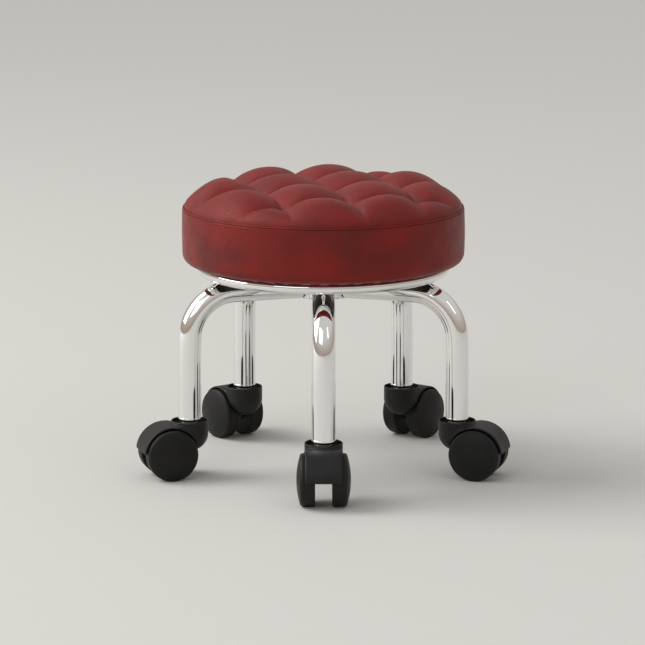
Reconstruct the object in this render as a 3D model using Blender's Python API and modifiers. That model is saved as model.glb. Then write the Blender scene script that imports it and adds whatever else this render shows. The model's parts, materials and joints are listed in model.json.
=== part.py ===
"""Rolling stylist stool: a low round stool with a tufted seat on five bent tube legs with twin-wheel casters.

The floor is Z = 0 and +Z points up. One leg points along -Y, towards the front, and the origin lies on the floor
at the centre of the stool's bounding box. All sizes are in metres.
"""

import math

import bmesh
import bpy
from mathutils import Matrix

# ---- driving dimensions ----------------------------------------------------------------------------------------

CLEARANCE = 0.0003  # gap left between pieces that touch

LEG_COUNT = 5
FRONT_AZIMUTH = -90.0  # degrees, direction of leg 1 seen from above
LEG_PITCH = 360.0 / LEG_COUNT  # degrees between neighbouring legs
LEG_RADIUS = 0.1395  # seat axis to the vertical part of a leg
LEG_BEND_RADIUS = 0.046  # centre line of the bend
LEG_RUN_HEIGHT = 0.184  # centre line of the horizontal run
LEG_LOWER_END = 0.0602
TUBE_RADIUS = 0.0114
TUBE_WALL = 0.0015
BEND_STEPS = 7

HUB_RADIUS = 0.0225
HUB_BOTTOM = 0.173
HUB_WALL = 0.003

RING_RADIUS = 0.1205  # centre line of the ring that the seat rests on
RING_TUBE_RADIUS = 0.0058
BRACKET_HALF_THICKNESS = 0.002
BRACKET_INNER = 0.094  # distance from the axis of its end towards the hub
BRACKET_OUTER = 0.1175
BRACKET_FOOT = 0.19
BRACKET_TOP = 0.2065

SEAT_RADIUS = 0.140
SEAT_BOTTOM = 0.2093
SEAM_HEIGHT = 0.2642
SEAT_CORNER_RADIUS = 0.009
BAND_THICKNESS = 0.0018
FOLD_THICKNESS = 0.0023
BAND_TURN_UNDER = 0.012  # width of the cover that is folded under the board
WELT_RADIUS = 0.0016
BOARD_RADIUS = 0.130
BOARD_BOTTOM = 0.212
BOARD_THICKNESS = 0.012
CUSHION_UNDERSIDE = 0.2583

TUFT_PITCHES = (0.0677, 0.0701)  # sides of a rectangle of the lattice of dimples
TUFT_TURN = math.radians(16.6)  # turn of that lattice about the seat axis
TUFT_SHIFT = (-0.011, 0.169)  # place of the seat axis on that lattice, in pitches
TUFT_RISE = 0.0159  # height of a tuft over the dimples around it
CROWN_RISE = 0.0117  # height of the dimples over the rim
RIM_HEIGHT = 0.265

PLATE_FLANGE_RADIUS = 0.062
PLATE_FLANGE_TOP = 0.2117
PLATE_FOOT_RADIUS = 0.030
PLATE_THICKNESS = 0.003
BOLT_CIRCLE_RADIUS = 0.050
BOLT_COUNT = 4
BOLT_RADIUS = 0.003

WHEEL_RADIUS = 0.0254
WHEEL_INNER_FACE = 0.0081  # distance from the caster's middle plane
WHEEL_OUTER_FACE = 0.02615
WHEEL_BORE_DEPTH = 0.020
TRAIL = 0.0224  # swivel axis to axle
AXLE_RADIUS = 0.0025
AXLE_HALF_LENGTH = 0.0195
HOOD_RADIUS = 0.0285
HOOD_WELL_RADIUS = 0.0266
HOOD_HALF_WIDTH = 0.01775
HOOD_WEB_HALF = 0.0075
HOOD_LOWER_EDGE = 0.0276
HOOD_BOSS_RADIUS = 0.0045
SOCKET_RADIUS = 0.0183
SOCKET_TOP = 0.0565
SOCKET_BALL_HEIGHT = 0.044
CUP_RADIUS = 0.0164
CUP_FLOOR = 0.053
STEM_RADIUS = 0.0055
STEM_BOTTOM = 0.0376
STEM_TOP = 0.087
COLLAR_TOP = 0.0556
INSERT_TOP = 0.084
INSERT_FLANGE_RADIUS = 0.0118

SEAT_STEPS = 40  # divisions of the seat's round pieces, a multiple of LEG_COUNT
SMALL_STEPS = 12
HOOD_STEPS = 22
WELL_STEPS = 28

BLEND_ANGLE = math.radians(35.0)  # edges sharper than this are shaded sharp


# ---- derived dimensions ----------------------------------------------------------------------------------------


def leg_azimuth(index):
    """Direction of leg 1..5 in radians, counted counter-clockwise from the front leg."""
    return math.radians(FRONT_AZIMUTH + LEG_PITCH * (index - 1))


def seat_axis_y():
    """Y of the seat axis that puts the bounding box's centre at Y = 0: the casters trail outwards."""
    front = LEG_RADIUS + TRAIL + HOOD_RADIUS
    rear = leg_azimuth(3)
    back = (LEG_RADIUS + TRAIL + HOOD_RADIUS) * math.sin(rear) + HOOD_HALF_WIDTH * math.cos(rear)
    return (front - back) / 2


# ---- scene, materials and small helpers ------------------------------------------------------------------------


def clear_scene():
    """Remove the start-up objects."""
    for item in list(bpy.data.objects):
        bpy.data.objects.remove(item, do_unlink=True)


def make_collection(name):
    """Return a new collection linked to the scene."""
    collection = bpy.data.collections.new(name)
    bpy.context.scene.collection.children.link(collection)
    return collection


def make_material(name, colour, roughness, metallic=0.0):
    """Return a Principled BSDF material."""
    material = bpy.data.materials.new(name)
    material.use_nodes = True
    shader = material.node_tree.nodes["Principled BSDF"]
    shader.inputs["Base Color"].default_value = (*colour, 1.0)
    shader.inputs["Roughness"].default_value = roughness
    shader.inputs["Metallic"].default_value = metallic
    material.diffuse_color = (*colour, 1.0)
    return material


def make_empty(name, parent=None, location=(0.0, 0.0, 0.0), turn=0.0):
    """Return an empty that pieces are parented to, turned about Z."""
    empty = bpy.data.objects.new(name, None)
    empty.empty_display_size = 0.02
    empty.location = location
    empty.rotation_euler = (0.0, 0.0, turn)
    empty.parent = parent
    STOOL.objects.link(empty)
    return empty


def place(name, mesh, material, parent, location=(0.0, 0.0, 0.0), rotation=(0.0, 0.0, 0.0)):
    """Add a finished mesh to the stool as a named piece."""
    if not mesh.materials:
        mesh.materials.append(material)
    piece = bpy.data.objects.new(name, mesh)
    piece.parent = parent
    piece.location = location
    piece.rotation_euler = rotation
    STOOL.objects.link(piece)
    return piece


def finished_mesh(source, *others):
    """Apply an object's modifiers, remove it and its helpers, and return the welded, smooth-shaded mesh."""
    graph = bpy.context.evaluated_depsgraph_get()
    mesh = bpy.data.meshes.new_from_object(source.evaluated_get(graph))
    for item in (source, *others):
        bpy.data.objects.remove(item, do_unlink=True)
    shape = bmesh.new()
    shape.from_mesh(mesh)
    bmesh.ops.remove_doubles(shape, verts=shape.verts, dist=0.000002)
    bmesh.ops.dissolve_degenerate(shape, edges=shape.edges, dist=0.000002)
    shape.to_mesh(mesh)
    shape.free()
    mesh.shade_smooth()
    mesh.set_sharp_from_angle(angle=BLEND_ANGLE)
    return mesh


def helper_object(name, data, location=(0.0, 0.0, 0.0), rotation=(0.0, 0.0, 0.0)):
    """Link a temporary object that a mesh is made from or cut with."""
    item = bpy.data.objects.new(name, data)
    item.location = location
    item.rotation_euler = rotation
    item.hide_render = True
    item.display_type = "WIRE"
    CUTTERS.objects.link(item)
    return item


def turned(name, profile, steps, closed=False):
    """Return a helper object: the (radius, height) profile turned about Z.

    An open profile starts and ends on the axis, and runs down the outer side. A closed one goes round a ring's
    section in the same direction.
    """
    mesh = bpy.data.meshes.new(name)
    count = len(profile)
    edges = [(i, i + 1) for i in range(count - 1)]
    if closed:
        edges.append((count - 1, 0))
    mesh.from_pydata([(radius, 0.0, height) for radius, height in profile], edges, [])
    item = helper_object(name, mesh)
    screw = item.modifiers.new("turn", "SCREW")
    screw.axis = "Z"
    screw.steps = steps
    screw.render_steps = steps
    screw.use_merge_vertices = True
    screw.merge_threshold = 0.00001
    screw.use_smooth_shade = True
    return item


def turned_mesh(name, profile, steps, closed=False):
    """Return the mesh of a profile turned about Z."""
    return finished_mesh(turned(name, profile, steps, closed))


def disc_profile(radius, bottom, top):
    """Profile of a plain disc from its top centre to its bottom centre."""
    return [(0.0, top), (radius, top), (radius, bottom), (0.0, bottom)]


def round_section(radius, centre_radius, centre_height, sides):
    """Closed round section of a ring, running down its outer side."""
    angles = [-2 * math.pi * i / sides for i in range(sides)]
    return [
        (centre_radius + radius * math.cos(angle), centre_height + radius * math.sin(angle)) for angle in angles
    ]


def arc(centre, radius, start, end, steps):
    """Points of an arc in degrees, both ends included."""
    angles = [math.radians(start + (end - start) * i / steps) for i in range(steps + 1)]
    return [(centre[0] + radius * math.cos(angle), centre[1] + radius * math.sin(angle)) for angle in angles]


def rod(name, radius, length, steps, location=(0.0, 0.0, 0.0), rotation=(0.0, 0.0, 0.0)):
    """Return a helper cylinder centred on its location, along its own Z."""
    mesh = bpy.data.meshes.new(name)
    shape = bmesh.new()
    bmesh.ops.create_cone(
        shape, cap_ends=True, segments=steps, radius1=radius, radius2=radius, depth=length
    )
    shape.to_mesh(mesh)
    shape.free()
    return helper_object(name, mesh, location, rotation)


def extruded_outline(name, outline, half_width):
    """Return a helper object: an (x, z) outline as a filled flat curve, extruded both ways along Y."""
    curve = bpy.data.curves.new(name, "CURVE")
    curve.dimensions = "2D"
    curve.fill_mode = "BOTH"
    curve.extrude = half_width
    spline = curve.splines.new("POLY")
    spline.points.add(len(outline) - 1)
    for point, (x, z) in zip(spline.points, outline):
        point.co = (x, z, 0.0, 1.0)
    spline.use_cyclic_u = True
    mesh = finished_mesh(helper_object(name, curve))
    bpy.data.curves.remove(curve)
    return helper_object(name, mesh, rotation=(math.radians(90), 0.0, 0.0))


def boolean(base, operation, other):
    """Add an exact Boolean of another object to a base object."""
    modifier = base.modifiers.new(other.name, "BOOLEAN")
    modifier.operation = operation
    modifier.solver = "EXACT"
    modifier.object = other


def cut_mesh(base, cutters):
    """Return the base's mesh with every cutter taken away."""
    for cutter in cutters:
        boolean(base, "DIFFERENCE", cutter)
    return finished_mesh(base, *cutters)


def bolt_places():
    """XY of the seat bolts, in the seat's frame."""
    angles = [math.radians(45 + 360 * i / BOLT_COUNT) for i in range(BOLT_COUNT)]
    return [(BOLT_CIRCLE_RADIUS * math.cos(angle), BOLT_CIRCLE_RADIUS * math.sin(angle)) for angle in angles]


def bolt_hole_cutters(radius, height):
    """Cylinders through the bolt places at a height."""
    return [
        rod(f"bolt_hole_{i}", radius, 0.04, SMALL_STEPS, (x, y, height))
        for i, (x, y) in enumerate(bolt_places(), 1)
    ]


# ---- seat ------------------------------------------------------------------------------------------------------


def tufted_height(x, y):
    """Height of the tufted top: puffs between the dimples of a square lattice, fading into a crowned rim."""
    u = (x * math.cos(TUFT_TURN) + y * math.sin(TUFT_TURN)) / TUFT_PITCHES[0] + TUFT_SHIFT[0]
    v = (y * math.cos(TUFT_TURN) - x * math.sin(TUFT_TURN)) / TUFT_PITCHES[1] + TUFT_SHIFT[1]
    ridge = abs(math.sin(math.pi * u) * math.sin(math.pi * v)) ** 0.54
    share = min(math.hypot(x, y) / (SEAT_RADIUS - 2 * WELT_RADIUS), 1.0)
    crown = RIM_HEIGHT + CROWN_RISE * (1 - share**10.5) ** 0.61
    fade = 1 - share**8
    return crown + TUFT_RISE * fade * ridge


def cushion_mesh():
    """Tufted top of the cushion: a disc whose upper face follows tufted_height."""
    edge = SEAT_RADIUS - 2 * WELT_RADIUS - CLEARANCE
    rings = 10
    top = [(edge * i / rings, RIM_HEIGHT) for i in range(rings + 1)]
    mesh = turned_mesh("cushion", [*top, (edge, CUSHION_UNDERSIDE), (0.0, CUSHION_UNDERSIDE)], SEAT_STEPS)
    for vertex in mesh.vertices:
        if vertex.co.z > (RIM_HEIGHT + CUSHION_UNDERSIDE) / 2:
            vertex.co.z = tufted_height(vertex.co.x, vertex.co.y)
    return mesh


def band_mesh():
    """Side band of the cover, with a rounded lower corner and its edge folded under the board."""
    top = SEAM_HEIGHT - WELT_RADIUS - CLEARANCE
    corner = (SEAT_RADIUS - SEAT_CORNER_RADIUS, SEAT_BOTTOM + SEAT_CORNER_RADIUS)
    fold = corner[0] - BAND_TURN_UNDER
    outer = [(SEAT_RADIUS, top), *arc(corner, SEAT_CORNER_RADIUS, 0, -90, 3), (fold, SEAT_BOTTOM)]
    inner_corner = SEAT_CORNER_RADIUS - BAND_THICKNESS
    under = SEAT_BOTTOM + FOLD_THICKNESS
    inner = [(fold, under), (corner[0], under)]
    inner += arc(corner, inner_corner, -60, 0, 2)
    inner.append((SEAT_RADIUS - BAND_THICKNESS, top))
    return turned_mesh("band", outer + inner, SEAT_STEPS, closed=True)


def build_seat(axis):
    """Cushion top, side band, welt, foam, board, dust cover, bolts and T-nuts."""
    place("seat_cushion_top", cushion_mesh(), VINYL, axis)
    place("seat_side_band", band_mesh(), VINYL, axis)
    welt = round_section(WELT_RADIUS, SEAT_RADIUS - WELT_RADIUS + 0.0002, SEAM_HEIGHT, 6)
    place("seat_welt", turned_mesh("welt", welt, SEAT_STEPS, closed=True), VINYL, axis)

    board_top = BOARD_BOTTOM + BOARD_THICKNESS
    nut_flange = 0.0015
    foam_radius = SEAT_RADIUS - BAND_THICKNESS - 3 * CLEARANCE
    foam = disc_profile(foam_radius, board_top + nut_flange + 2 * CLEARANCE, CUSHION_UNDERSIDE - CLEARANCE)
    place("seat_foam_pad", turned_mesh("foam", foam, SEAT_STEPS), FOAM, axis)

    nut_radius = 0.0042
    board = turned("board", disc_profile(BOARD_RADIUS, BOARD_BOTTOM, board_top), SEAT_STEPS)
    holes = bolt_hole_cutters(nut_radius + 2 * CLEARANCE, BOARD_BOTTOM)
    place("seat_board", cut_mesh(board, holes), PLYWOOD, axis)

    cover_top = BOARD_BOTTOM - CLEARANCE
    cover_bottom = cover_top - 0.0007
    cover_inner = PLATE_FLANGE_RADIUS + 2 * CLEARANCE
    cover_outer = SEAT_RADIUS - SEAT_CORNER_RADIUS - BAND_TURN_UNDER - 2 * CLEARANCE
    cover = [
        (cover_outer, cover_top),
        (cover_outer, cover_bottom),
        (cover_inner, cover_bottom),
        (cover_inner, cover_top),
    ]
    place("seat_dust_cover", turned_mesh("dust_cover", cover, SEAT_STEPS, closed=True), CLOTH, axis)

    flange_bottom = PLATE_FLANGE_TOP - PLATE_THICKNESS
    head_top = flange_bottom - CLEARANCE
    shank_top = board_top - 0.001
    bolt = turned_mesh(
        "bolt",
        [
            (0.0, shank_top),
            (BOLT_RADIUS, shank_top),
            (BOLT_RADIUS, head_top),
            (0.0055, head_top),
            (0.0055, head_top - 0.002),
            (0.0035, head_top - 0.0035),
            (0.0, head_top - 0.0035),
        ],
        SMALL_STEPS,
    )
    bore = BOLT_RADIUS + CLEARANCE
    flange_low = board_top + CLEARANCE
    flange_high = flange_low + nut_flange
    nut_bottom = BOARD_BOTTOM + 0.003
    nut = turned_mesh(
        "t_nut",
        [
            (bore, flange_high),
            (0.009, flange_high),
            (0.009, flange_low),
            (nut_radius, flange_low),
            (nut_radius, nut_bottom),
            (bore, nut_bottom),
        ],
        SMALL_STEPS,
        closed=True,
    )
    for i, (x, y) in enumerate(bolt_places(), 1):
        place(f"seat_bolt_{i}", bolt, STEEL, axis, (x, y, 0.0))
        place(f"seat_t_nut_{i}", nut, STEEL, axis, (x, y, 0.0))


# ---- frame -----------------------------------------------------------------------------------------------------


def ring_height():
    """Height of the ring's centre line, which puts its top against the seat."""
    return SEAT_BOTTOM - CLEARANCE - RING_TUBE_RADIUS


def build_ring_and_hub(axis):
    """Ring under the seat's edge, hub where the legs meet, and the dished plate that carries the board."""
    section = round_section(RING_TUBE_RADIUS, RING_RADIUS, ring_height(), 8)
    place("seat_ring", turned_mesh("ring", section, SEAT_STEPS, closed=True), CHROME, axis)

    hub_top = LEG_RUN_HEIGHT + TUBE_RADIUS
    inner = HUB_RADIUS - HUB_WALL
    round_over = 0.002
    hub = [
        (0.0, HUB_BOTTOM + HUB_WALL),
        (inner, HUB_BOTTOM + HUB_WALL),
        (inner, hub_top),
        (HUB_RADIUS, hub_top),
        *arc((HUB_RADIUS - round_over, HUB_BOTTOM + round_over), round_over, 0, -90, 2),
        (0.0, HUB_BOTTOM),
    ]
    place("leg_hub", turned_mesh("hub", hub, 20), CHROME, axis)

    foot_bottom = hub_top + CLEARANCE
    flange_bottom = PLATE_FLANGE_TOP - PLATE_THICKNESS
    slope = 0.006
    dish = [
        (0.0, foot_bottom + PLATE_THICKNESS),
        (PLATE_FOOT_RADIUS - slope / 3, foot_bottom + PLATE_THICKNESS),
        (PLATE_FOOT_RADIUS + slope * 2 / 3, PLATE_FLANGE_TOP),
        (PLATE_FLANGE_RADIUS, PLATE_FLANGE_TOP),
        (PLATE_FLANGE_RADIUS, flange_bottom),
        (PLATE_FOOT_RADIUS + slope, flange_bottom),
        (PLATE_FOOT_RADIUS, foot_bottom),
        (0.0, foot_bottom),
    ]
    plate = turned("plate", dish, SEAT_STEPS // 2)
    holes = bolt_hole_cutters(BOLT_RADIUS + 2 * CLEARANCE, PLATE_FLANGE_TOP)
    place("mounting_plate", cut_mesh(plate, holes), STEEL, axis)


def leg_route():
    """Centre line of a leg in its own XZ plane: up from the caster, round the bend and in to the hub."""
    bend_centre = (LEG_RADIUS - LEG_BEND_RADIUS, LEG_RUN_HEIGHT - LEG_BEND_RADIUS)
    bend = arc(bend_centre, LEG_BEND_RADIUS, 0, 90, BEND_STEPS)
    return [(LEG_RADIUS, LEG_LOWER_END), *bend, (HUB_RADIUS + 2 * CLEARANCE, LEG_RUN_HEIGHT)]


def swept_leg(name, radius, caps):
    """Return a helper tube of a radius along the leg's centre line, as a mesh object."""
    curve = bpy.data.curves.new(name, "CURVE")
    curve.dimensions = "3D"
    curve.bevel_depth = radius
    curve.bevel_resolution = 4
    curve.use_fill_caps = caps
    route = leg_route()
    spline = curve.splines.new("POLY")
    spline.points.add(len(route) - 1)
    for point, (x, z) in zip(spline.points, route):
        point.co = (x, 0.0, z, 1.0)
    mesh = finished_mesh(helper_object(name, curve))
    bpy.data.curves.remove(curve)
    return helper_object(name, mesh)


def leg_mesh():
    """Bent round tube, open at both ends."""
    item = swept_leg("leg", TUBE_RADIUS, caps=False)
    wall = item.modifiers.new("wall", "SOLIDIFY")
    wall.thickness = TUBE_WALL
    wall.offset = -1.0
    wall.use_even_offset = True
    return finished_mesh(item)


def bracket_mesh():
    """Upright gusset in the leg's plane, from the top of the bend to the inner side of the ring."""
    outline = [
        (BRACKET_INNER, BRACKET_FOOT),
        (BRACKET_INNER + 0.012, BRACKET_FOOT),
        (BRACKET_OUTER, BRACKET_TOP - 0.008),
        (BRACKET_OUTER, BRACKET_TOP),
        (BRACKET_OUTER - 0.0085, BRACKET_TOP),
        (BRACKET_INNER, BRACKET_TOP - 0.009),
    ]
    gusset = extruded_outline("bracket", outline, BRACKET_HALF_THICKNESS)
    leg = swept_leg("bracket_leg", TUBE_RADIUS + CLEARANCE, caps=True)
    section = round_section(RING_TUBE_RADIUS + CLEARANCE, RING_RADIUS, ring_height(), 8)
    ring = turned("bracket_ring", section, SEAT_STEPS, closed=True)
    boolean(gusset, "DIFFERENCE", leg)
    boolean(gusset, "DIFFERENCE", ring)
    mesh = finished_mesh(gusset, leg, ring)
    mesh.transform(Matrix.Rotation(math.radians(90), 4, "X"))
    return mesh


def insert_mesh():
    """Flanged bush pressed into the leg's lower end: the flange is the bright ring under the tube."""
    bore = STEM_RADIUS + CLEARANCE
    sleeve = TUBE_RADIUS - TUBE_WALL - 0.0007
    flange_top = LEG_LOWER_END - CLEARANCE
    flange_bottom = COLLAR_TOP + CLEARANCE
    profile = [
        (bore, INSERT_TOP),
        (sleeve, INSERT_TOP),
        (sleeve, flange_top),
        (INSERT_FLANGE_RADIUS, flange_top),
        (INSERT_FLANGE_RADIUS, flange_bottom + 0.0014),
        (INSERT_FLANGE_RADIUS - 0.0014, flange_bottom),
        (bore, flange_bottom),
    ]
    return turned_mesh("insert", profile, SMALL_STEPS, closed=True)


# ---- casters ---------------------------------------------------------------------------------------------------


def stem_mesh():
    """Swivel stem fixed in the leg, with the shoulder that closes the hood's cup."""
    shoulder_bottom = CUP_FLOOR + 0.001
    shoulder_radius = 0.009
    profile = [
        (0.0, STEM_TOP),
        (STEM_RADIUS - 0.001, STEM_TOP),
        (STEM_RADIUS, STEM_TOP - 0.001),
        (STEM_RADIUS, COLLAR_TOP),
        (shoulder_radius, COLLAR_TOP),
        (shoulder_radius, shoulder_bottom),
        (STEM_RADIUS, shoulder_bottom),
        (STEM_RADIUS, STEM_BOTTOM),
        (0.0, STEM_BOTTOM),
    ]
    return turned_mesh("stem", profile, SMALL_STEPS)


def socket_body():
    """Round socket of the hood, uncut, with a ball-shaped underside."""
    underside = arc((0.0, SOCKET_BALL_HEIGHT), SOCKET_RADIUS, 0, -90, 5)
    return turned("socket", [(0.0, SOCKET_TOP), (SOCKET_RADIUS, SOCKET_TOP), *underside], HOOD_STEPS)


def socket_hollow():
    """Cutter for the cup around the leg's end and the blind bore under it."""
    bore = STEM_RADIUS + CLEARANCE + 0.0001
    above = SOCKET_TOP + 0.002
    profile = [
        (0.0, above),
        (CUP_RADIUS, above),
        (CUP_RADIUS, CUP_FLOOR),
        (bore, CUP_FLOOR),
        (bore, STEM_BOTTOM - CLEARANCE),
        (0.0, STEM_BOTTOM - CLEARANCE),
    ]
    return turned("socket_hollow", profile, HOOD_STEPS)


def fender_body():
    """Fender and middle web of the hood, an outline in the wheel's plane extruded to the hood's width."""
    axle = (TRAIL, WHEEL_RADIUS)
    end_angle = math.degrees(math.asin((HOOD_LOWER_EDGE - WHEEL_RADIUS) / HOOD_RADIUS))
    inner_angle = 180 - math.degrees(math.asin((SOCKET_BALL_HEIGHT - WHEEL_RADIUS) / HOOD_RADIUS))
    boss_angle = math.degrees(math.asin((HOOD_LOWER_EDGE - WHEEL_RADIUS) / HOOD_BOSS_RADIUS))
    outline = arc(axle, HOOD_RADIUS, end_angle, inner_angle, 9)
    outline.append((outline[-1][0], HOOD_LOWER_EDGE + 0.002))
    outline.append((TRAIL - 0.010, HOOD_LOWER_EDGE))
    outline += arc(axle, HOOD_BOSS_RADIUS, 180 - boss_angle, 360 + boss_angle, 8)
    return extruded_outline("fender", outline, HOOD_HALF_WIDTH)


def hood_mesh():
    """Hood of a twin-wheel caster, in the swivel axis's frame, with a well for each wheel and the axle's bore."""
    hood = socket_body()
    fender = fender_body()
    hollow = socket_hollow()
    boolean(hood, "UNION", fender)
    boolean(hood, "DIFFERENCE", hollow)
    lying = (math.radians(90), 0.0, 0.0)
    well_width = 0.03
    helpers = [fender, hollow]
    for side in (-1, 1):
        middle = side * (HOOD_WEB_HALF + well_width / 2)
        well = rod(f"well_{side}", HOOD_WELL_RADIUS, well_width, WELL_STEPS, (TRAIL, middle, WHEEL_RADIUS), lying)
        boolean(hood, "DIFFERENCE", well)
        helpers.append(well)
    bore = rod("bore", AXLE_RADIUS + 1.5 * CLEARANCE, 0.05, SMALL_STEPS, (TRAIL, 0.0, WHEEL_RADIUS), lying)
    boolean(hood, "DIFFERENCE", bore)
    return finished_mesh(hood, *helpers, bore)


def wheel_mesh():
    """Wheel turned about Z, from its domed closed outer face to its blind bore on the inner side."""
    dome_edge = WHEEL_RADIUS - 0.0011
    dome_rise = WHEEL_OUTER_FACE - 0.0224
    dome_radius = (dome_edge**2 + dome_rise**2) / (2 * dome_rise)
    dome = [
        (radius, WHEEL_OUTER_FACE - dome_radius + math.sqrt(dome_radius**2 - radius**2))
        for radius in (0.0, dome_edge / 2, dome_edge)
    ]
    bore = AXLE_RADIUS + CLEARANCE
    profile = [
        *dome,
        (WHEEL_RADIUS, 0.0206),
        (WHEEL_RADIUS, WHEEL_INNER_FACE + 0.0008),
        (WHEEL_RADIUS - 0.0008, WHEEL_INNER_FACE),
        (bore, WHEEL_INNER_FACE),
        (bore, WHEEL_BORE_DEPTH),
        (0.0, WHEEL_BORE_DEPTH),
    ]
    return turned_mesh("wheel", profile, 24)


def build_legs_and_casters(axis):
    """Five legs, each with its bracket to the ring, bush, stem, hood, axle and two wheels."""
    leg, bracket, insert, stem = leg_mesh(), bracket_mesh(), insert_mesh(), stem_mesh()
    hood, wheel = hood_mesh(), wheel_mesh()
    axle = finished_mesh(rod("axle", AXLE_RADIUS, 2 * AXLE_HALF_LENGTH, SMALL_STEPS))
    for i in range(1, LEG_COUNT + 1):
        leg_frame = make_empty(f"leg_frame_{i}", axis, turn=leg_azimuth(i))
        swivel_axis = make_empty(f"swivel_axis_{i}", leg_frame, (LEG_RADIUS, 0.0, 0.0))
        axle_axis = make_empty(f"axle_axis_{i}", swivel_axis, (TRAIL, 0.0, WHEEL_RADIUS))
        place(f"leg_{i}", leg, CHROME, leg_frame)
        place(f"ring_bracket_{i}", bracket, CHROME, leg_frame)
        place(f"leg_insert_{i}", insert, CHROME, swivel_axis)
        place(f"caster_stem_{i}", stem, STEEL, swivel_axis)
        place(f"caster_hood_{i}", hood, BLACK_PLASTIC, swivel_axis)
        place(f"caster_axle_{i}", axle, STEEL, axle_axis, rotation=(math.radians(90), 0.0, 0.0))
        place(f"wheel_{i}_left", wheel, BLACK_PLASTIC, axle_axis, rotation=(math.radians(-90), 0.0, 0.0))
        place(f"wheel_{i}_right", wheel, BLACK_PLASTIC, axle_axis, rotation=(math.radians(90), 0.0, 0.0))


# ---- build -----------------------------------------------------------------------------------------------------

clear_scene()
STOOL = make_collection("rolling_stylist_stool")
CUTTERS = make_collection("cutters")
VINYL = make_material("red_vinyl", (0.20, 0.015, 0.012), 0.45)
CHROME = make_material("chrome", (0.80, 0.80, 0.80), 0.06, 1.0)
STEEL = make_material("steel", (0.55, 0.55, 0.56), 0.35, 1.0)
BLACK_PLASTIC = make_material("black_plastic", (0.022, 0.022, 0.022), 0.5)
FOAM = make_material("foam", (0.85, 0.80, 0.62), 0.9)
PLYWOOD = make_material("plywood", (0.52, 0.36, 0.20), 0.7)
CLOTH = make_material("dust_cloth", (0.03, 0.03, 0.03), 0.95)

seat_axis = make_empty("seat_axis", location=(0.0, seat_axis_y(), 0.0))
build_seat(seat_axis)
build_ring_and_hub(seat_axis)
build_legs_and_casters(seat_axis)
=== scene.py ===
"""Looks of the rolling stylist stool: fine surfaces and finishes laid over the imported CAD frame.

Sizes are in metres in the frame's own axes: Z points up, the floor is Z = 0 and one leg points along -Y.
"""

from __future__ import annotations

import json
import logging
import math
from collections.abc import Callable
from dataclasses import dataclass, field
from enum import Enum

import bmesh
import bpy
import numpy as np
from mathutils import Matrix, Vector

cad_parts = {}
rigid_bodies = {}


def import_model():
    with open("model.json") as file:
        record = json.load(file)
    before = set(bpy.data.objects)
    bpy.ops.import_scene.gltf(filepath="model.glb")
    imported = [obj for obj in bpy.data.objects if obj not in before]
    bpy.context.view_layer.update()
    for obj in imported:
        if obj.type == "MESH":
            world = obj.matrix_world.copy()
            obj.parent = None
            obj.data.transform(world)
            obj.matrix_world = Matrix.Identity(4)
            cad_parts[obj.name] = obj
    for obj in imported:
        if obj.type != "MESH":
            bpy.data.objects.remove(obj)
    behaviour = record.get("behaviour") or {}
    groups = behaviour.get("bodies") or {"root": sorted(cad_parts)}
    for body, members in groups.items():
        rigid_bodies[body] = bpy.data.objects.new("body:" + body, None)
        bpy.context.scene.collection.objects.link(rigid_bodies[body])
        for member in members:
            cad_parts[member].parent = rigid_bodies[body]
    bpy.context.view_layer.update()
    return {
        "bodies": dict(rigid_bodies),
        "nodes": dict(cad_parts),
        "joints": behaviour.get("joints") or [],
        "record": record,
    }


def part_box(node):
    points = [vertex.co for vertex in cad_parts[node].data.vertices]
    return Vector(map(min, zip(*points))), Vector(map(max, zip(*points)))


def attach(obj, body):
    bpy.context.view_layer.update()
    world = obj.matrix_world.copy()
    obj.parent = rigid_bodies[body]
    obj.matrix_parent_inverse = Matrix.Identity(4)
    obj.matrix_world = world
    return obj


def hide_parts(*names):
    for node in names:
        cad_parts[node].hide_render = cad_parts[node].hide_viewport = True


Grid = np.ndarray
Triple = tuple[float, float, float]
Colour = Triple
Rise = Callable[[Grid, Grid], Grid]
Socket = bpy.types.NodeSocket

LOG = logging.getLogger("stool")
LEG_COUNT = 5
SEED = 7
AIM_ASIDE = -0.0008
AIM_HEIGHT = 0.1462


class Slot(Enum):
    """Material slots of the record that a piece takes its finish from."""

    VINYL = "red_vinyl"
    CHROME = "chrome"
    STEEL = "steel"
    PLASTIC = "black_plastic"
    FOAM = "foam"
    PLYWOOD = "plywood"
    CLOTH = "dust_cloth"


class Mark(Enum):
    """Values that a mesh keeps at each of its points for its finish to read."""

    EDGE = "edge"
    # painted shade: how far each point's colour is darkened in creases, folds and hollows
    CREASE = "crease"


class Side(Enum):
    """The two wheels of a caster, seen along its trail."""

    LEFT = 1
    RIGHT = -1


# ---- surfaces ------------------------------------------------------------------------------------


@dataclass(frozen=True)
class Placement:
    """A local frame: its origin and, as the columns of a matrix, the directions of its own axes."""

    origin: Grid
    axes: Grid

    def carry(self, local: Grid) -> Grid:
        """Return local points in the object's frame."""
        return local @ self.axes.T + self.origin


def upright(origin: Grid, azimuth: float = 0.0) -> Placement:
    """Frame whose X axis points along an azimuth and whose Z axis points up.

    Args:
        origin: Place of the frame.
        azimuth: Direction of its X axis seen from above, in radians.

    Returns:
        The frame.
    """
    c, s = math.cos(azimuth), math.sin(azimuth)
    return Placement(np.asarray(origin, float), np.array([[c, -s, 0.0], [s, c, 0.0], [0.0, 0.0, 1.0]]))


def lying(origin: Grid, azimuth: float, side: int) -> Placement:
    """Frame whose Z axis lies across an azimuth, to its left for side 1 and to its right for side -1.

    Args:
        origin: Place of the frame.
        azimuth: Direction seen from above, in radians.
        side: 1 or -1.

    Returns:
        The frame.
    """
    along = np.array([math.cos(azimuth), math.sin(azimuth), 0.0])
    across = side * np.array([-math.sin(azimuth), math.cos(azimuth), 0.0])
    return Placement(np.asarray(origin, float), np.stack([along, np.cross(across, along), across], axis=1))


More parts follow.
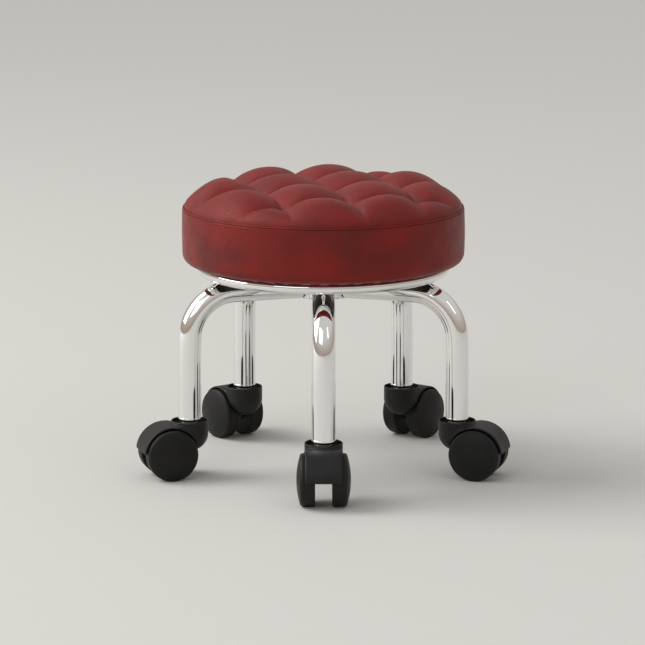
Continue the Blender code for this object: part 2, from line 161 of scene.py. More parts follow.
@dataclass
class Surface:
    """Points of one surface, or of many copies of it, on a grid of rows and columns.

    points has the shape (rows, columns, 3), or (copies, rows, columns, 3).
    """

    points: Grid
    rows_closed: bool = False
    columns_closed: bool = True
    marks: dict[Mark, Grid] = field(default_factory=dict)

    def faces(self) -> Grid:
        """Return the four corners of every face, with the faces of a closed surface turned outwards."""
        copies = self.points.reshape(-1, *self.points.shape[-3:])
        count, rows, columns = copies.shape[:3]
        row, column = np.meshgrid(
            np.arange(rows if self.rows_closed else rows - 1),
            np.arange(columns if self.columns_closed else columns - 1),
            indexing="ij",
        )
        next_row, next_column = (row + 1) % rows, (column + 1) % columns
        corners = [(row, column), (row, next_column), (next_row, next_column), (next_row, column)]
        one = np.stack([r * columns + c for r, c in corners], axis=-1).reshape(-1, 4)
        a, b, c, d = (copies[0].reshape(-1, 3)[one[:, i]] for i in range(4))
        volume = np.einsum("ij,ij->i", a, np.cross(b, c) + np.cross(c, d)).sum()
        if volume < 0:
            one = one[:, ::-1]
        return (one[None] + (np.arange(count) * rows * columns)[:, None, None]).reshape(-1, 4)

    def mesh(self, name: str) -> bpy.types.Mesh:
        """Return the surface as a mesh whose poles are closed."""
        marks = {mark: np.broadcast_to(v, self.points.shape[:-1]).ravel() for mark, v in self.marks.items()}
        return mesh_of(name, self.points.reshape(-1, 3), self.faces(), marks)


def mesh_of(name: str, points: Grid, faces: Grid, marks: dict[Mark, Grid]) -> bpy.types.Mesh:
    """Put points, faces and marks into a smooth mesh and join points that fall on each other.

    Args:
        name: Name of the mesh.
        points: Places of the points, one in each row.
        faces: Corners of the faces.
        marks: A value for each point under each mark.

    Returns:
        The mesh.
    """
    mesh = bpy.data.meshes.new(name)
    mesh.from_pydata(points, [], faces)
    for mark, values in marks.items():
        data = mesh.attributes.new(mark.value, "FLOAT", "POINT").data
        data.foreach_set("value", values.astype(np.float32))
    work = bmesh.new()
    work.from_mesh(mesh)
    bmesh.ops.remove_doubles(work, verts=work.verts, dist=1e-6)
    work.to_mesh(mesh)
    work.free()
    mesh.polygons.foreach_set("use_smooth", np.ones(len(mesh.polygons), bool))
    mesh.update()
    return mesh


def rounded(corners: list[Triple], steps: int = 5) -> Grid:
    """Outline through corners, each rounded to its radius by an arc that touches both of its sides.

    Args:
        corners: (x, y, radius) of each corner. The first and the last stay sharp unless they have a radius,
            which takes the outline as closed.
        steps: Pieces in each arc.

    Returns:
        Points of the outline, (n, 2).
    """
    out = []
    for i, (x, y, radius) in enumerate(corners):
        here = np.array([x, y])
        if radius == 0.0:
            out.append(here)
            continue
        before = np.array(corners[i - 1][:2]) - here
        after = np.array(corners[(i + 1) % len(corners)][:2]) - here
        before, after = before / np.linalg.norm(before), after / np.linalg.norm(after)
        half = math.acos(float(np.clip(before @ after, -1, 1))) / 2
        bisector = (before + after) / np.linalg.norm(before + after)
        centre = here + bisector * radius / math.sin(half)
        reach = radius / math.tan(half)
        start, end = here + before * reach - centre, here + after * reach - centre
        sweep = math.pi - 2 * half
        share = np.linspace(0, 1, steps + 1)[:, None]
        arc = (np.sin((1 - share) * sweep) * start + np.sin(share * sweep) * end) / math.sin(sweep)
        guard = 0.12 * radius
        out += [here + before * (reach + guard), *(centre + arc), here + after * (reach + guard)]
    return np.array(out)


def filled(outline: Grid, spacing: float) -> Grid:
    """Outline with points added along its long stretches, so that none is longer than the spacing."""
    lengths = np.linalg.norm(np.diff(outline, axis=0), axis=1)
    at = np.concatenate([[0.0], np.cumsum(lengths)])
    counts = np.maximum(np.ceil(lengths / spacing).astype(int), 1)
    places = np.concatenate([np.linspace(a, b, n, endpoint=False) for a, b, n in zip(at, at[1:], counts)])
    places = np.append(places, at[-1])
    return np.stack([np.interp(places, at, outline[:, i]) for i in range(2)], axis=1)


def corner_share(outline: Grid) -> Grid:
    """How sharply an outline turns at each point, from 0 on a straight to 1 at a radius of 1 mm or less."""
    step = np.gradient(outline, axis=0)
    angle = np.unwrap(np.arctan2(step[:, 1], step[:, 0]))
    bend = np.abs(np.gradient(angle)) / np.maximum(np.linalg.norm(step, axis=1), 1e-6)
    return np.clip(bend / 1000.0, 0, 1)


def full_turn(steps: int) -> Grid:
    """Return evenly spaced angles of a full turn, in radians."""
    return np.linspace(0, 2 * np.pi, steps, endpoint=False)


def polar(r: Grid, angle: Grid, z: Grid) -> Grid:
    """Return points at distances r and heights z, at angles about the Z axis."""
    return np.stack([r * np.cos(angle), r * np.sin(angle), z + 0 * angle], axis=-1)


def turned(outline: Grid, steps: int, place: Placement, closed: bool = False) -> Surface:
    """Outline turned about the frame's Z axis: a point (r, z) goes round as (r cos t, r sin t, z).

    Args:
        outline: Points (r, z).
        steps: Divisions of the full turn.
        place: The frame.
        closed: Whether the outline is a closed loop, as for a ring.

    Returns:
        The surface.
    """
    local = polar(outline[:, :1], full_turn(steps), outline[:, 1:])
    return Surface(place.carry(local), closed, marks={Mark.EDGE: corner_share(outline)[:, None]})


def carried(
    centres: Grid, normals: Grid, binormals: Grid, radii: Grid, sides: int, closed: bool
) -> Surface:
    """Circle carried along a path: a point is centre + radius (cos t normal + sin t binormal).

    Args:
        centres: Points of the path, (n, 3).
        normals: Unit vectors across the path at each point.
        binormals: Unit vectors across the path and the normals.
        radii: Radius at each point, 0 where the surface ends in a pole.
        sides: Divisions of the circle.
        closed: Whether the path is a loop.

    Returns:
        The surface.
    """
    angle = full_turn(sides)[:, None]
    ring = np.cos(angle) * normals[:, None] + np.sin(angle) * binormals[:, None]
    return Surface(centres[:, None] + radii[:, None, None] * ring, closed)


def pill(length: float, radius: float, rows: int = 8, sides: int = 6) -> Grid:
    """Points of a round-ended rod along X, centred on it, whose radius is a superellipse of its length."""
    share = np.sin(np.linspace(-np.pi / 2, np.pi / 2, rows))
    radii = radius * (1 - np.abs(share) ** 6) ** 0.5
    centres = np.stack([share * length / 2, 0 * share, 0 * share], axis=1)
    across = np.broadcast_to(np.array([0.0, 1.0, 0.0]), centres.shape)
    up = np.broadcast_to(np.array([0.0, 0.0, 1.0]), centres.shape)
    return carried(centres, across, up, radii, sides, closed=False).points


def smooth_most(a: Grid, b: Grid, width: float) -> Grid:
    """The larger of two fields, blended over a width so that the edge between them is rounded."""
    near = np.maximum(width - np.abs(a - b), 0) / width
    return np.maximum(a, b) + near * near * width / 4


def smooth_least(a: Grid, b: Grid, width: float) -> Grid:
    """The smaller of two fields, blended over a width so that the corner between them is filled."""
    return -smooth_most(-a, -b, width)


class Solid:
    """A body given by a field that is negative inside it; its skin is read off a lattice of points."""

    def depth(self, p: Grid) -> Grid:
        """Return the field at points p, (..., 3)."""
        raise NotImplementedError

    def slope(self, p: Grid, step: float = 1e-5) -> Grid:
        """Return the field's gradient at points p, from differences over a step."""
        offsets = np.eye(3) * step
        return np.stack([(self.depth(p + o) - self.depth(p - o)) / (2 * step) for o in offsets], axis=-1)

    def bulge(self, p: Grid, step: float = 4e-4) -> Grid:
        """Return how convex the skin is at points p: the sum of the field's second differences."""
        offsets = np.eye(3) * step
        return sum(self.depth(p + o) + self.depth(p - o) - 2 * self.depth(p) for o in offsets) / step**2

    def skin(self, low: Grid, high: Grid, step: float) -> tuple[Grid, Grid]:
        """Read the skin as four-sided faces, one point for each lattice cell that the skin crosses.

        Each point starts at the mean of the crossings on its cell's edges and is then moved along the
        gradient onto the skin.

        Args:
            low: Lowest corner of the lattice.
            high: Highest corner of the lattice.
            step: Spacing of the lattice.

        Returns:
            Points (n, 3) and faces (m, 4).
        """
        axes = [np.arange(a, b + step, step) for a, b in zip(low, high)]
        lattice = np.stack(np.meshgrid(*axes, indexing="ij"), axis=-1)
        depth = self.depth(lattice)
        cells = np.array(depth.shape) - 1
        total, count = np.zeros((*cells, 3)), np.zeros(cells)
        crossings = []
        for axis in range(3):
            first = [slice(None)] * 3
            second = [slice(None)] * 3
            first[axis], second[axis] = slice(0, -1), slice(1, None)
            a, b = depth[tuple(first)], depth[tuple(second)]
            crossed = (a < 0) != (b < 0)
            share = np.where(crossed, a / np.where(crossed, a - b, 1.0), 0.0)[..., None]
            point = lattice[tuple(first)] * (1 - share) + lattice[tuple(second)] * share
            point = np.where(crossed[..., None], point, 0.0)
            one, two = (i for i in range(3) if i != axis)
            for i in (0, 1):
                for j in (0, 1):
                    part = [slice(None)] * 3
                    part[one] = slice(i, cells[one] + i)
                    part[two] = slice(j, cells[two] + j)
                    total += point[tuple(part)]
                    count += crossed[tuple(part)]
            crossings.append((axis, one, two, np.argwhere(crossed), (a < 0)[crossed]))
        used = count > 0
        number = np.cumsum(used).reshape(used.shape) - 1
        points = total[used] / count[used][:, None]
        faces = []
        for axis, one, two, at, rising in crossings:
            inner = (at[:, one] > 0) & (at[:, one] < cells[one])
            inner &= (at[:, two] > 0) & (at[:, two] < cells[two])
            at, rising = at[inner], rising[inner]
            corners = []
            for i, j in ((-1, -1), (0, -1), (0, 0), (-1, 0)):
                cell = at.copy()
                cell[:, one] += i
                cell[:, two] += j
                corners.append(number[tuple(cell.T)])
            quads = np.stack(corners, axis=1)
            backwards = rising if axis == 1 else ~rising
            quads[backwards] = quads[backwards][:, ::-1]
            faces.append(quads)
        for _ in range(4):
            slope = self.slope(points)
            steepness = np.maximum(np.sum(slope**2, axis=1), 0.25)
            move = -self.depth(points)[:, None] * slope / steepness[:, None]
            points = points + np.clip(move, -step / 2, step / 2)
        return points, np.concatenate(faces)


# ---- finishes ------------------------------------------------------------------------------------


class Board:
    """The node tree of one material, with short calls that add nodes and join them."""

    def __init__(self, name: str) -> None:
        """Start a material with its standard shader.

        Args:
            name: Name of the material.
        """
        self.material = bpy.data.materials.new(name)
        self.material.use_nodes = True
        self.tree = self.material.node_tree
        self.shader = self.tree.nodes["Principled BSDF"]

    def feed(self, node: bpy.types.Node, inputs: dict[str | int, object]) -> None:
        """Set each named input of a node to a value, or join it to the socket that is given for it."""
        for name, value in inputs.items():
            socket = node.inputs[name]
            if isinstance(value, Socket):
                self.tree.links.new(value, socket)
            elif isinstance(value, tuple) and socket.type == "RGBA":
                socket.default_value = (*value, 1.0)
            else:
                socket.default_value = value

    def node(self, kind: str, inputs: dict[str | int, object], **settings: object) -> bpy.types.Node:
        """Add a node.

        Args:
            kind: Its type, without the leading ShaderNode.
            inputs: Values and sockets for its inputs.
            settings: Its own settings.

        Returns:
            The node.
        """
        node = self.tree.nodes.new(f"ShaderNode{kind}")
        for name, value in settings.items():
            setattr(node, name, value)
        self.feed(node, inputs)
        return node

    def place(self, stretch: Triple = (1.0, 1.0, 1.0)) -> Socket:
        """Return the object's own coordinates, multiplied along each axis."""
        coordinates = self.node("TexCoord", {}).outputs["Object"]
        return self.node("Mapping", {"Vector": coordinates, "Scale": stretch}).outputs["Vector"]

    def noise(
        self, size: float, detail: float = 3.0, stretch: Triple = (1.0, 1.0, 1.0), warp: float = 0.0
    ) -> Socket:
        """Return cloudy noise.

        Args:
            size: Size of its blotches in metres.
            detail: Octaves of finer noise in it.
            stretch: Factors on the coordinates, below 1 along the axis that the noise is drawn out on.
            warp: How far it is distorted.

        Returns:
            The noise, about 0.3 to 0.7.
        """
        inputs = {"Vector": self.place(stretch), "Scale": 1 / size, "Detail": detail, "Distortion": warp}
        return self.node("TexNoise", inputs).outputs[0]

    def cells(self, size: float, feature: str = "F1", vector: Socket | None = None) -> Socket:
        """Return the distance field of a cell pattern of the given cell size."""
        inputs = {"Vector": vector or self.place(), "Scale": 1 / size}
        return self.node("TexVoronoi", inputs, feature=feature).outputs["Distance"]

    def shaken(self, size: float, amount: float) -> Socket:
        """Return the object's coordinates, moved by noise of one size by up to an amount in metres."""
        noise = self.node("TexNoise", {"Vector": self.place(), "Scale": 1 / size}).outputs[1]
        moved = self.node("VectorMath", {0: noise, 1: (amount,) * 3}, operation="MULTIPLY").outputs[0]
        return self.node("VectorMath", {0: self.place(), 1: moved}, operation="ADD").outputs[0]

    def mark(self, mark: Mark) -> Socket:
        """Return a value that the mesh keeps at its points."""
        return self.node("Attribute", {}, attribute_name=mark.value).outputs["Fac"]

    def span(
        self, value: Socket, low: float, high: float, start: float = 0.0, end: float = 1.0
    ) -> Socket:
        """Return a value that runs smoothly from start to end as another goes from low to high."""
        inputs = {"Value": value, "From Min": low, "From Max": high, "To Min": start, "To Max": end}
        return self.node("MapRange", inputs, interpolation_type="SMOOTHSTEP").outputs["Result"]

    def sum(self, a: Socket | float, b: Socket | float, operation: str = "ADD") -> Socket:
        """Return two values added, or joined by another operation."""
        return self.node("Math", {0: a, 1: b}, operation=operation).outputs[0]

    def mix(self, share: Socket | float, first: Socket | Colour, second: Socket | Colour) -> Socket:
        """Return a colour between two, by a share."""
        node = self.node("Mix", {0: share}, data_type="RGBA")
        self.feed(node, {6: first, 7: second})
        return node.outputs[2]

    def coat(
        self, colour: Socket | Colour, roughness: Socket | float, normal: Socket, **more: float
    ) -> None:
        """Join a colour, a roughness and normals to the shader, and set its other inputs."""
        inputs = {"Base Color": colour, "Roughness": roughness, "Normal": normal}
        extra = {name.replace("_", " "): value for name, value in more.items()}
        self.feed(self.shader, inputs | extra)

    def relief(self, height: Socket, depth: float, under: Socket | None = None) -> Socket:
        """Return normals bumped by a height, whose 0 to 1 stands for a depth in metres."""
        inputs = {"Height": height, "Distance": depth, "Strength": 1.0}
        if under is not None:
            inputs["Normal"] = under
        return self.node("Bump", inputs).outputs["Normal"]


@dataclass(frozen=True)
class Finish:
    """A finish: its name and the record's slot that it belongs to, or no slot on the studio's own things."""

    name: str
    slot: Slot | None

    def paint(self, board: Board) -> None:
        """Join the finish's nodes to the shader."""
        raise NotImplementedError

    def material(self) -> bpy.types.Material:
        """Return the finish's material, made when it is first asked for."""
        found = bpy.data.materials.get(self.name)
        if found is None:
            board = Board(self.name)
            self.paint(board)
            found = board.material
        return found

    def dress(self, item: bpy.types.Object) -> bpy.types.Object:
        """Give an object this finish as its only material, and return it."""
        item.data.materials.clear()
        item.data.materials.append(self.material())
        return item


@dataclass(frozen=True)
class Vinyl(Finish):
    """Soft upholstery vinyl: mottled red with a pebbled leather grain, and painted shade darkening its
    folds.
    """

    deep: Colour = (0.120, 0.0115, 0.0095)
    body: Colour = (0.175, 0.0115, 0.0085)
    bright: Colour = (0.215, 0.0120, 0.0085)
    blotch: float = 0.050
    pebble: float = 0.0014
    pebble_depth: float = 0.00016

    def paint(self, board: Board) -> None:
        """Mottle the colour, paint shade into the folds, and raise pebbles with fine creases between them.
        """
        cloud = board.noise(self.blotch, 2.5, warp=0.3)
        patch = board.noise(self.blotch * 0.7, 2.0, stretch=(1.0, 1.0, 1.3))
        colour = board.mix(board.span(cloud, 0.22, 0.60), self.deep, self.body)
        colour = board.mix(board.span(patch, 0.42, 0.80), colour, self.bright)
        # painted shade: the fold mark darkens the colour towards a deep maroon in creases, gathers and round
        # the pulled points
        fold = board.mark(Mark.CREASE)
        colour = board.mix(board.sum(fold, 0.75, "MULTIPLY"), colour, tuple(0.45 * c for c in self.deep))
        edges = board.cells(self.pebble, "DISTANCE_TO_EDGE", board.shaken(0.004, 0.0012))
        grain = board.span(edges, 0.0, 0.32)
        fine = board.noise(self.pebble * 0.35, 2.0)
        normal = board.relief(grain, self.pebble_depth)
        normal = board.relief(fine, self.pebble_depth * 0.35, normal)
        normal = board.relief(board.noise(0.011, 2.0), 0.00035, normal)
        roughness = board.span(board.noise(0.02, 4.0), 0.3, 0.7, 0.34, 0.44)
        board.coat(colour, roughness, normal, Specular_IOR_Level=0.20)


@dataclass(frozen=True)
class Chrome(Finish):
    """Bright chrome plate with a faint waviness of the tube under it and traces of wiping."""

    colour: Colour = (0.86, 0.86, 0.855)

    def paint(self, board: Board) -> None:
        """Mirror with a little smudging that changes its roughness."""
        smudge = board.noise(0.018, 5.0, warp=0.8)
        wiping = board.noise(0.004, 3.0, stretch=(1.0, 1.0, 0.12))
        smudged = board.span(smudge, 0.48, 0.72, 0.0, 0.035)
        haze = board.sum(smudged, board.span(wiping, 0.5, 0.8, 0.0, 0.02))
        roughness = board.sum(haze, 0.035)
        colour = board.mix(board.span(smudge, 0.5, 0.75), self.colour, tuple(0.95 * c for c in self.colour))
        normal = board.relief(board.noise(0.022, 1.0), 0.00003)
        board.coat(colour, roughness, normal, Metallic=1.0)


@dataclass(frozen=True)
class Zinc(Finish):
    """Zinc-plated steel: a cool grey with a faint crystalline patchwork."""

    light: Colour = (0.60, 0.61, 0.62)
    dark: Colour = (0.40, 0.41, 0.43)

    def paint(self, board: Board) -> None:
        """Patch the tint and the roughness."""
        patch = board.cells(0.005, vector=board.shaken(0.006, 0.003))
        cloud = board.noise(0.012, 5.0)
        colour = board.mix(board.span(patch, 0.1, 0.7), self.light, self.dark)
        roughness = board.span(cloud, 0.3, 0.7, 0.26, 0.44)
        normal = board.relief(board.noise(0.0009, 3.0), 0.00003)
        board.coat(colour, roughness, normal, Metallic=1.0)


@dataclass(frozen=True)
class Moulded(Finish):
    """Moulded nylon: near-black with a fine sparked texture, paler on worn edges and dusty scuffs, with
    painted shade in its hollows.
    """

    colour: Colour = (0.0095, 0.0095, 0.0098)
    worn: Colour = (0.034, 0.034, 0.035)
    rough: float = 0.46

    def paint(self, board: Board) -> None:
        """Mottle the black, wear the edges, scuff it lightly and paint shade into the hollows."""
        cloud = board.noise(0.016, 5.0)
        scuffs = board.noise(0.0022, 4.0, stretch=(1.0, 0.22, 1.0), warp=1.2)
        colour = board.mix(board.span(cloud, 0.35, 0.65), self.colour, tuple(1.35 * c for c in self.colour))
        scuffed = board.span(scuffs, 0.60, 0.74, 0.0, 0.30)
        rubbed = board.sum(board.mark(Mark.EDGE), board.span(cloud, 0.35, 0.6, 0.15, 0.8), "MULTIPLY")
        share = board.sum(scuffed, board.sum(rubbed, 0.55, "MULTIPLY"), "MAXIMUM")
        colour = board.mix(share, colour, self.worn)
        # painted shade: the hood's cup and wheel wells are darkened to near black, and made rougher
        hollow_shade = board.mark(Mark.CREASE)
        colour = board.mix(hollow_shade, colour, tuple(0.3 * c for c in self.colour))
        roughness = board.sum(board.span(cloud, 0.3, 0.7, -0.05, 0.07), self.rough)
        roughness = board.sum(board.sum(hollow_shade, 0.4, "MULTIPLY"), roughness)
        texture = board.cells(0.00055, vector=board.shaken(0.0006, 0.0003))
        normal = board.relief(texture, 0.000022)
        normal = board.relief(board.noise(0.006, 2.0), 0.00004, normal)
        board.coat(colour, roughness, normal, Specular_IOR_Level=0.24)


@dataclass(frozen=True)
class Foam(Finish):
    """Open-celled cushion foam, cream with a little yellowing."""

    fresh: Colour = (0.80, 0.73, 0.52)
    aged: Colour = (0.66, 0.53, 0.28)

    def paint(self, board: Board) -> None:
        """Pit the surface with small cells, paint shade into the pits and yellow it in patches."""
        pores = board.cells(0.0009)
        colour = board.mix(board.span(board.noise(0.03, 4.0), 0.4, 0.7), self.fresh, self.aged)
        shade = tuple(0.5 * c for c in self.aged)
        # painted shade in the pores: colour darkened towards the cell points
        colour = board.mix(board.span(pores, 0.0, 0.35, 0.45, 0.0), colour, shade)
        normal = board.relief(pores, 0.0004)
        board.coat(colour, 0.92, normal)


@dataclass(frozen=True)
class Plywood(Finish):
    """Birch plywood: long grain on the faces and alternate light and dark plies along the edge."""

    pale: Colour = (0.60, 0.43, 0.25)
    dark: Colour = (0.36, 0.22, 0.11)
    ply: float = 0.0024

    def paint(self, board: Board) -> None:
        """Draw the grain out along X and stack the plies along Z."""
        grain = board.noise(0.0035, 6.0, stretch=(0.06, 1.0, 1.0), warp=0.4)
        height = board.node("SeparateXYZ", {0: board.place()}).outputs["Z"]
        wave = board.sum(board.sum(height, 2 * math.pi / self.ply, "MULTIPLY"), 0.0, "SINE")
        colour = board.mix(board.span(grain, 0.35, 0.7), self.pale, self.dark)
        colour = board.mix(board.span(wave, -0.3, 0.3, 0.0, 0.45), colour, self.dark)
        normal = board.relief(grain, 0.00015)
        board.coat(colour, 0.68, normal)


@dataclass(frozen=True)
class Spunbond(Finish):
    """Dark brown non-woven dust cloth: matted fibres pressed with a lattice of small bonding points."""

    colour: Colour = (0.020, 0.011, 0.010)
    fluff: Colour = (0.050, 0.030, 0.027)
    bond_pitch: float = 0.0016

    def paint(self, board: Board) -> None:
        """Lay fibres two ways and press the bonding points in."""
        one = board.noise(0.0011, 4.0, stretch=(1.0, 0.15, 1.0), warp=0.8)
        other = board.noise(0.0011, 4.0, stretch=(0.15, 1.0, 1.0), warp=0.8)
        fibre = board.sum(one, other, "MAXIMUM")
        bonds = board.span(board.cells(self.bond_pitch), 0.15, 0.35)
        colour = board.mix(board.span(fibre, 0.5, 0.72), self.colour, self.fluff)
        colour = board.mix(bonds, self.colour, colour)
        normal = board.relief(fibre, 0.0002, board.relief(bonds, 0.00015))
        board.coat(colour, 0.9, normal, Sheen_Weight=0.25)


@dataclass(frozen=True)
class Paper(Finish):
    """Pale matt backdrop paper."""

    colour: Colour = (0.585, 0.578, 0.556)

    def paint(self, board: Board) -> None:
        """Give the paper a faint fibre."""
        fibre = board.noise(0.004, 4.0)
        colour = board.mix(board.span(fibre, 0.3, 0.7), tuple(0.985 * c for c in self.colour), self.colour)
        board.feed(board.shader, {"Base Color": colour, "Roughness": 0.75, "Specular IOR Level": 0.25})


VINYL = Vinyl("red_vinyl_finish", Slot.VINYL)
CHROME = Chrome("chrome_finish", Slot.CHROME)
ZINC = Zinc("zinc_steel_finish", Slot.STEEL)
MOULDED = Moulded("moulded_nylon_finish", Slot.PLASTIC)
TREAD = Moulded("wheel_nylon_finish", Slot.PLASTIC, colour=(0.0060, 0.0060, 0.0062), rough=0.50)
FOAM = Foam("cushion_foam_finish", Slot.FOAM)
PLYWOOD = Plywood("plywood_finish", Slot.PLYWOOD)
SPUNBOND = Spunbond("dust_cloth_finish", Slot.CLOTH)
PAPER = Paper("backdrop_paper_finish", None)


# ---- pieces --------------------------------------------------------------------------------------


def added(name: str, data: bpy.types.ID) -> bpy.types.Object:
    """Return a new object with the given data, linked to the scene."""
    item = bpy.data.objects.new(name, data)
    bpy.context.scene.collection.objects.link(item)
    return item


def show(name: str, mesh: bpy.types.Mesh, finish: Finish, body: str, *nodes: str) -> bpy.types.Object:
    """Add a piece to the scene.

    Args:
        name: Name of the piece.
        mesh: Its mesh, in the object's frame.
        finish: Its finish.
        body: The CAD body that it moves with.
        nodes: CAD nodes that it stands for.

    Returns:
        The piece.
    """
    item = finish.dress(added(name, mesh))
    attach(item, body)
    if nodes:
        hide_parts(*nodes)
    LOG.info("%s: %d faces on %s", name, len(mesh.polygons), body)
    return item


def middle(node: str) -> Grid:
    """Return the middle of a CAD node's box."""
    low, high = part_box(node)
    return np.array((low + high) / 2)


def span_of(node: str, axis: int) -> tuple[float, float]:
    """Return the lowest and highest place of a CAD node along an axis."""
    low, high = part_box(node)
    return low[axis], high[axis]


def foot(node: str) -> Grid:
    """Return the point of the floor under the middle of a CAD node's box."""
    return middle(node) * np.array([1.0, 1.0, 0.0])


@dataclass
class Stance:
    """Where the stool's axis and its legs are, read from the frame."""

    first_azimuth: float = -math.pi / 2
    axis: Grid = field(default_factory=lambda: foot("seat_ring"))

    def azimuth(self, index: int) -> float:
        """Return the direction of leg 1 to 5, counted counter-clockwise from the front one."""
        return self.first_azimuth + 2 * math.pi / LEG_COUNT * (index - 1)

    def leg_frame(self, index: int) -> Placement:
        """Return the frame on the stool's axis whose X points along a leg."""
        return upright(self.axis, self.azimuth(index))

    def reach(self, node: str) -> float:
        """Return how far a CAD node reaches from the stool's axis along X."""
        return span_of(node, 0)[1] - self.axis[0]


@dataclass
class TuftedTop:
    """The seat's padded top panel: puffs between the pulled-down points of a nearly square lattice."""

    stance: Stance
    pitches: tuple[float, float] = (0.0677, 0.0701)
    turn: float = math.radians(16.6)
    shift: tuple[float, float] = (-0.011, 0.169)
    edge: float = 0.1383
    crown: float = 0.0117
    rim_height: float = 0.2650
    rise: float = 0.0163
    underside: float = 0.2584
    rim_round: float = 0.0024
    seam_width: float = 0.0006
    pull_depth: float = 0.0030
    pull_radius: float = 0.0058
    swirl: float = math.radians(13)
    ring_spacing: float = 0.00115
    columns: int = 640
    cap: float = 0.006
    raster_step: float = 0.004
    puff_power: float = 0.54
    crown_flatness: float = 10.5
    crown_power: float = 0.61
    rim_fade: int = 8
    crease_width: float = 0.0012
    crease_reach: float = 0.022
    pull_shadow: float = 0.004
    cloth_fullness: float = 0.86
    cloth_spacing: float = 0.004
    cloth_frames: int = 20
    cloth_settings: dict[str, float] = field(
        default_factory=lambda: {
            "quality": 6,
            "mass": 0.2,
            "tension_stiffness": 12,
            "compression_stiffness": 8,
            "bending_stiffness": 0.4,
            "shrink_min": -0.04,
            "use_pressure": True,
            "uniform_pressure_force": 4.0,
        }
    )

    def lattice(self, x: Grid, y: Grid) -> tuple[Grid, Grid]:
        """Return places on the lattice in pitches, whole numbers at the pulled points.

        Near a pulled point the lattice is turned a little, by an angle that falls with the square of the
        distance, so that the folds curl into it as gathered vinyl does.
        """
        u = (x * math.cos(self.turn) + y * math.sin(self.turn)) / self.pitches[0] + self.shift[0]
        v = (y * math.cos(self.turn) - x * math.sin(self.turn)) / self.pitches[1] + self.shift[1]
        du, dv = u - np.round(u), v - np.round(v)
        angle = self.swirl * np.exp(-((self.from_pull(u, v) / (2 * self.pull_radius)) ** 2))
        turned_u = np.round(u) + du * np.cos(angle) - dv * np.sin(angle)
        return turned_u, np.round(v) + du * np.sin(angle) + dv * np.cos(angle)

    def from_pull(self, u: Grid, v: Grid) -> Grid:
        """Return how far places on the lattice are from their nearest pulled points."""
        return np.hypot((u - np.round(u)) * self.pitches[0], (v - np.round(v)) * self.pitches[1])

    def height(self, x: Grid, y: Grid, fullness: float = 1.0) -> Grid:
        """Height of the panel.

        A puff rises as a power of |sin(pi u) sin(pi v)|, with its creases rounded over the seam's width. The
        puffs stand on a crown (1 - q^flatness)^power, with q the distance from the axis as a share of the
        edge's, and fade out at the rim as 1 - q^fade. Each pulled point is a small dent.
        """
        u, v = self.lattice(x, y)
        soft = np.pi * self.seam_width / self.pitches[0]
        across = np.sqrt(np.sin(np.pi * u) ** 2 + soft**2) * np.sqrt(np.sin(np.pi * v) ** 2 + soft**2)
        puff = np.clip(across, 0, 1) ** self.puff_power - soft ** (2 * self.puff_power)
        share = np.clip(np.hypot(x, y) / self.edge, 0, 1)
        crown = self.rim_height + self.crown * (1 - share**self.crown_flatness) ** self.crown_power
        fade = 1 - share**self.rim_fade
        dent = self.pull_depth * np.exp(-((self.from_pull(u, v) / self.pull_radius) ** 2))
        return crown + fade * (fullness * self.rise * puff - dent)

    def crease(self, x: Grid, y: Grid) -> Grid:
        """Return how much painted shade each place gets, 0 to 1: how deep in a fold it is, from its distance
        to the nearest crease.
        """
        u, v = self.lattice(x, y)
        near = np.minimum(np.abs(np.sin(np.pi * u)), np.abs(np.sin(np.pi * v))) * self.pitches[0] / np.pi
        distance = self.from_pull(u, v)
        share = np.clip(np.hypot(x, y) / self.edge, 0, 1)
        line = np.exp(-((near / self.crease_width) ** 2)) * np.exp(-((distance / self.crease_reach) ** 2))
        point = np.exp(-((distance / self.pull_shadow) ** 2))
        return np.clip(0.7 * line + 0.7 * point, 0, 1) * (1 - share**6)

    def surface(
        self, spacing: float, columns: int, fullness: float, swelling: Rise | None = None
    ) -> Surface:
        """Return the closed panel: its top by the height formula, a rounded rim and a flat underside.

        Args:
            spacing: Distance between its rings.
            columns: Divisions of each ring.
            fullness: Share of the puffs' full rise.
            swelling: Function of x and y that adds to the height, or None.

        Returns:
            The surface, about the stool's axis.
        """
        top = np.linspace(0, self.edge - self.rim_round, int(self.edge / spacing))
        turn = np.linspace(0, np.pi / 2, 5)[1:]
        rim = self.edge - self.rim_round + self.rim_round * np.sin(turn)
        drop = self.rim_round * (1 - np.cos(turn))
        under = np.linspace(self.edge - 0.0006, 0, 24)
        radius = np.concatenate([top, rim, [self.edge, self.edge], under])
        angle = full_turn(columns)
        x, y = radius[:, None] * np.cos(angle), radius[:, None] * np.sin(angle)
        z = self.height(x, y, fullness)
        if swelling is not None:
            z = z + swelling(x, y)
        rows = len(top) + len(rim)
        z[len(top) : rows] -= drop[:, None]
        z[rows] = (self.rim_height + self.underside) / 2
        z[rows + 1] = self.underside + 0.0006
        z[rows + 2 :] = self.underside
        # painted shade along the creases and round the pulled points, none below the rounded rim
        crease = self.crease(x, y)
        crease[rows:] = 0
        points = np.stack([x, y, z], axis=-1) + self.stance.axis
        return Surface(points, marks={Mark.CREASE: crease})

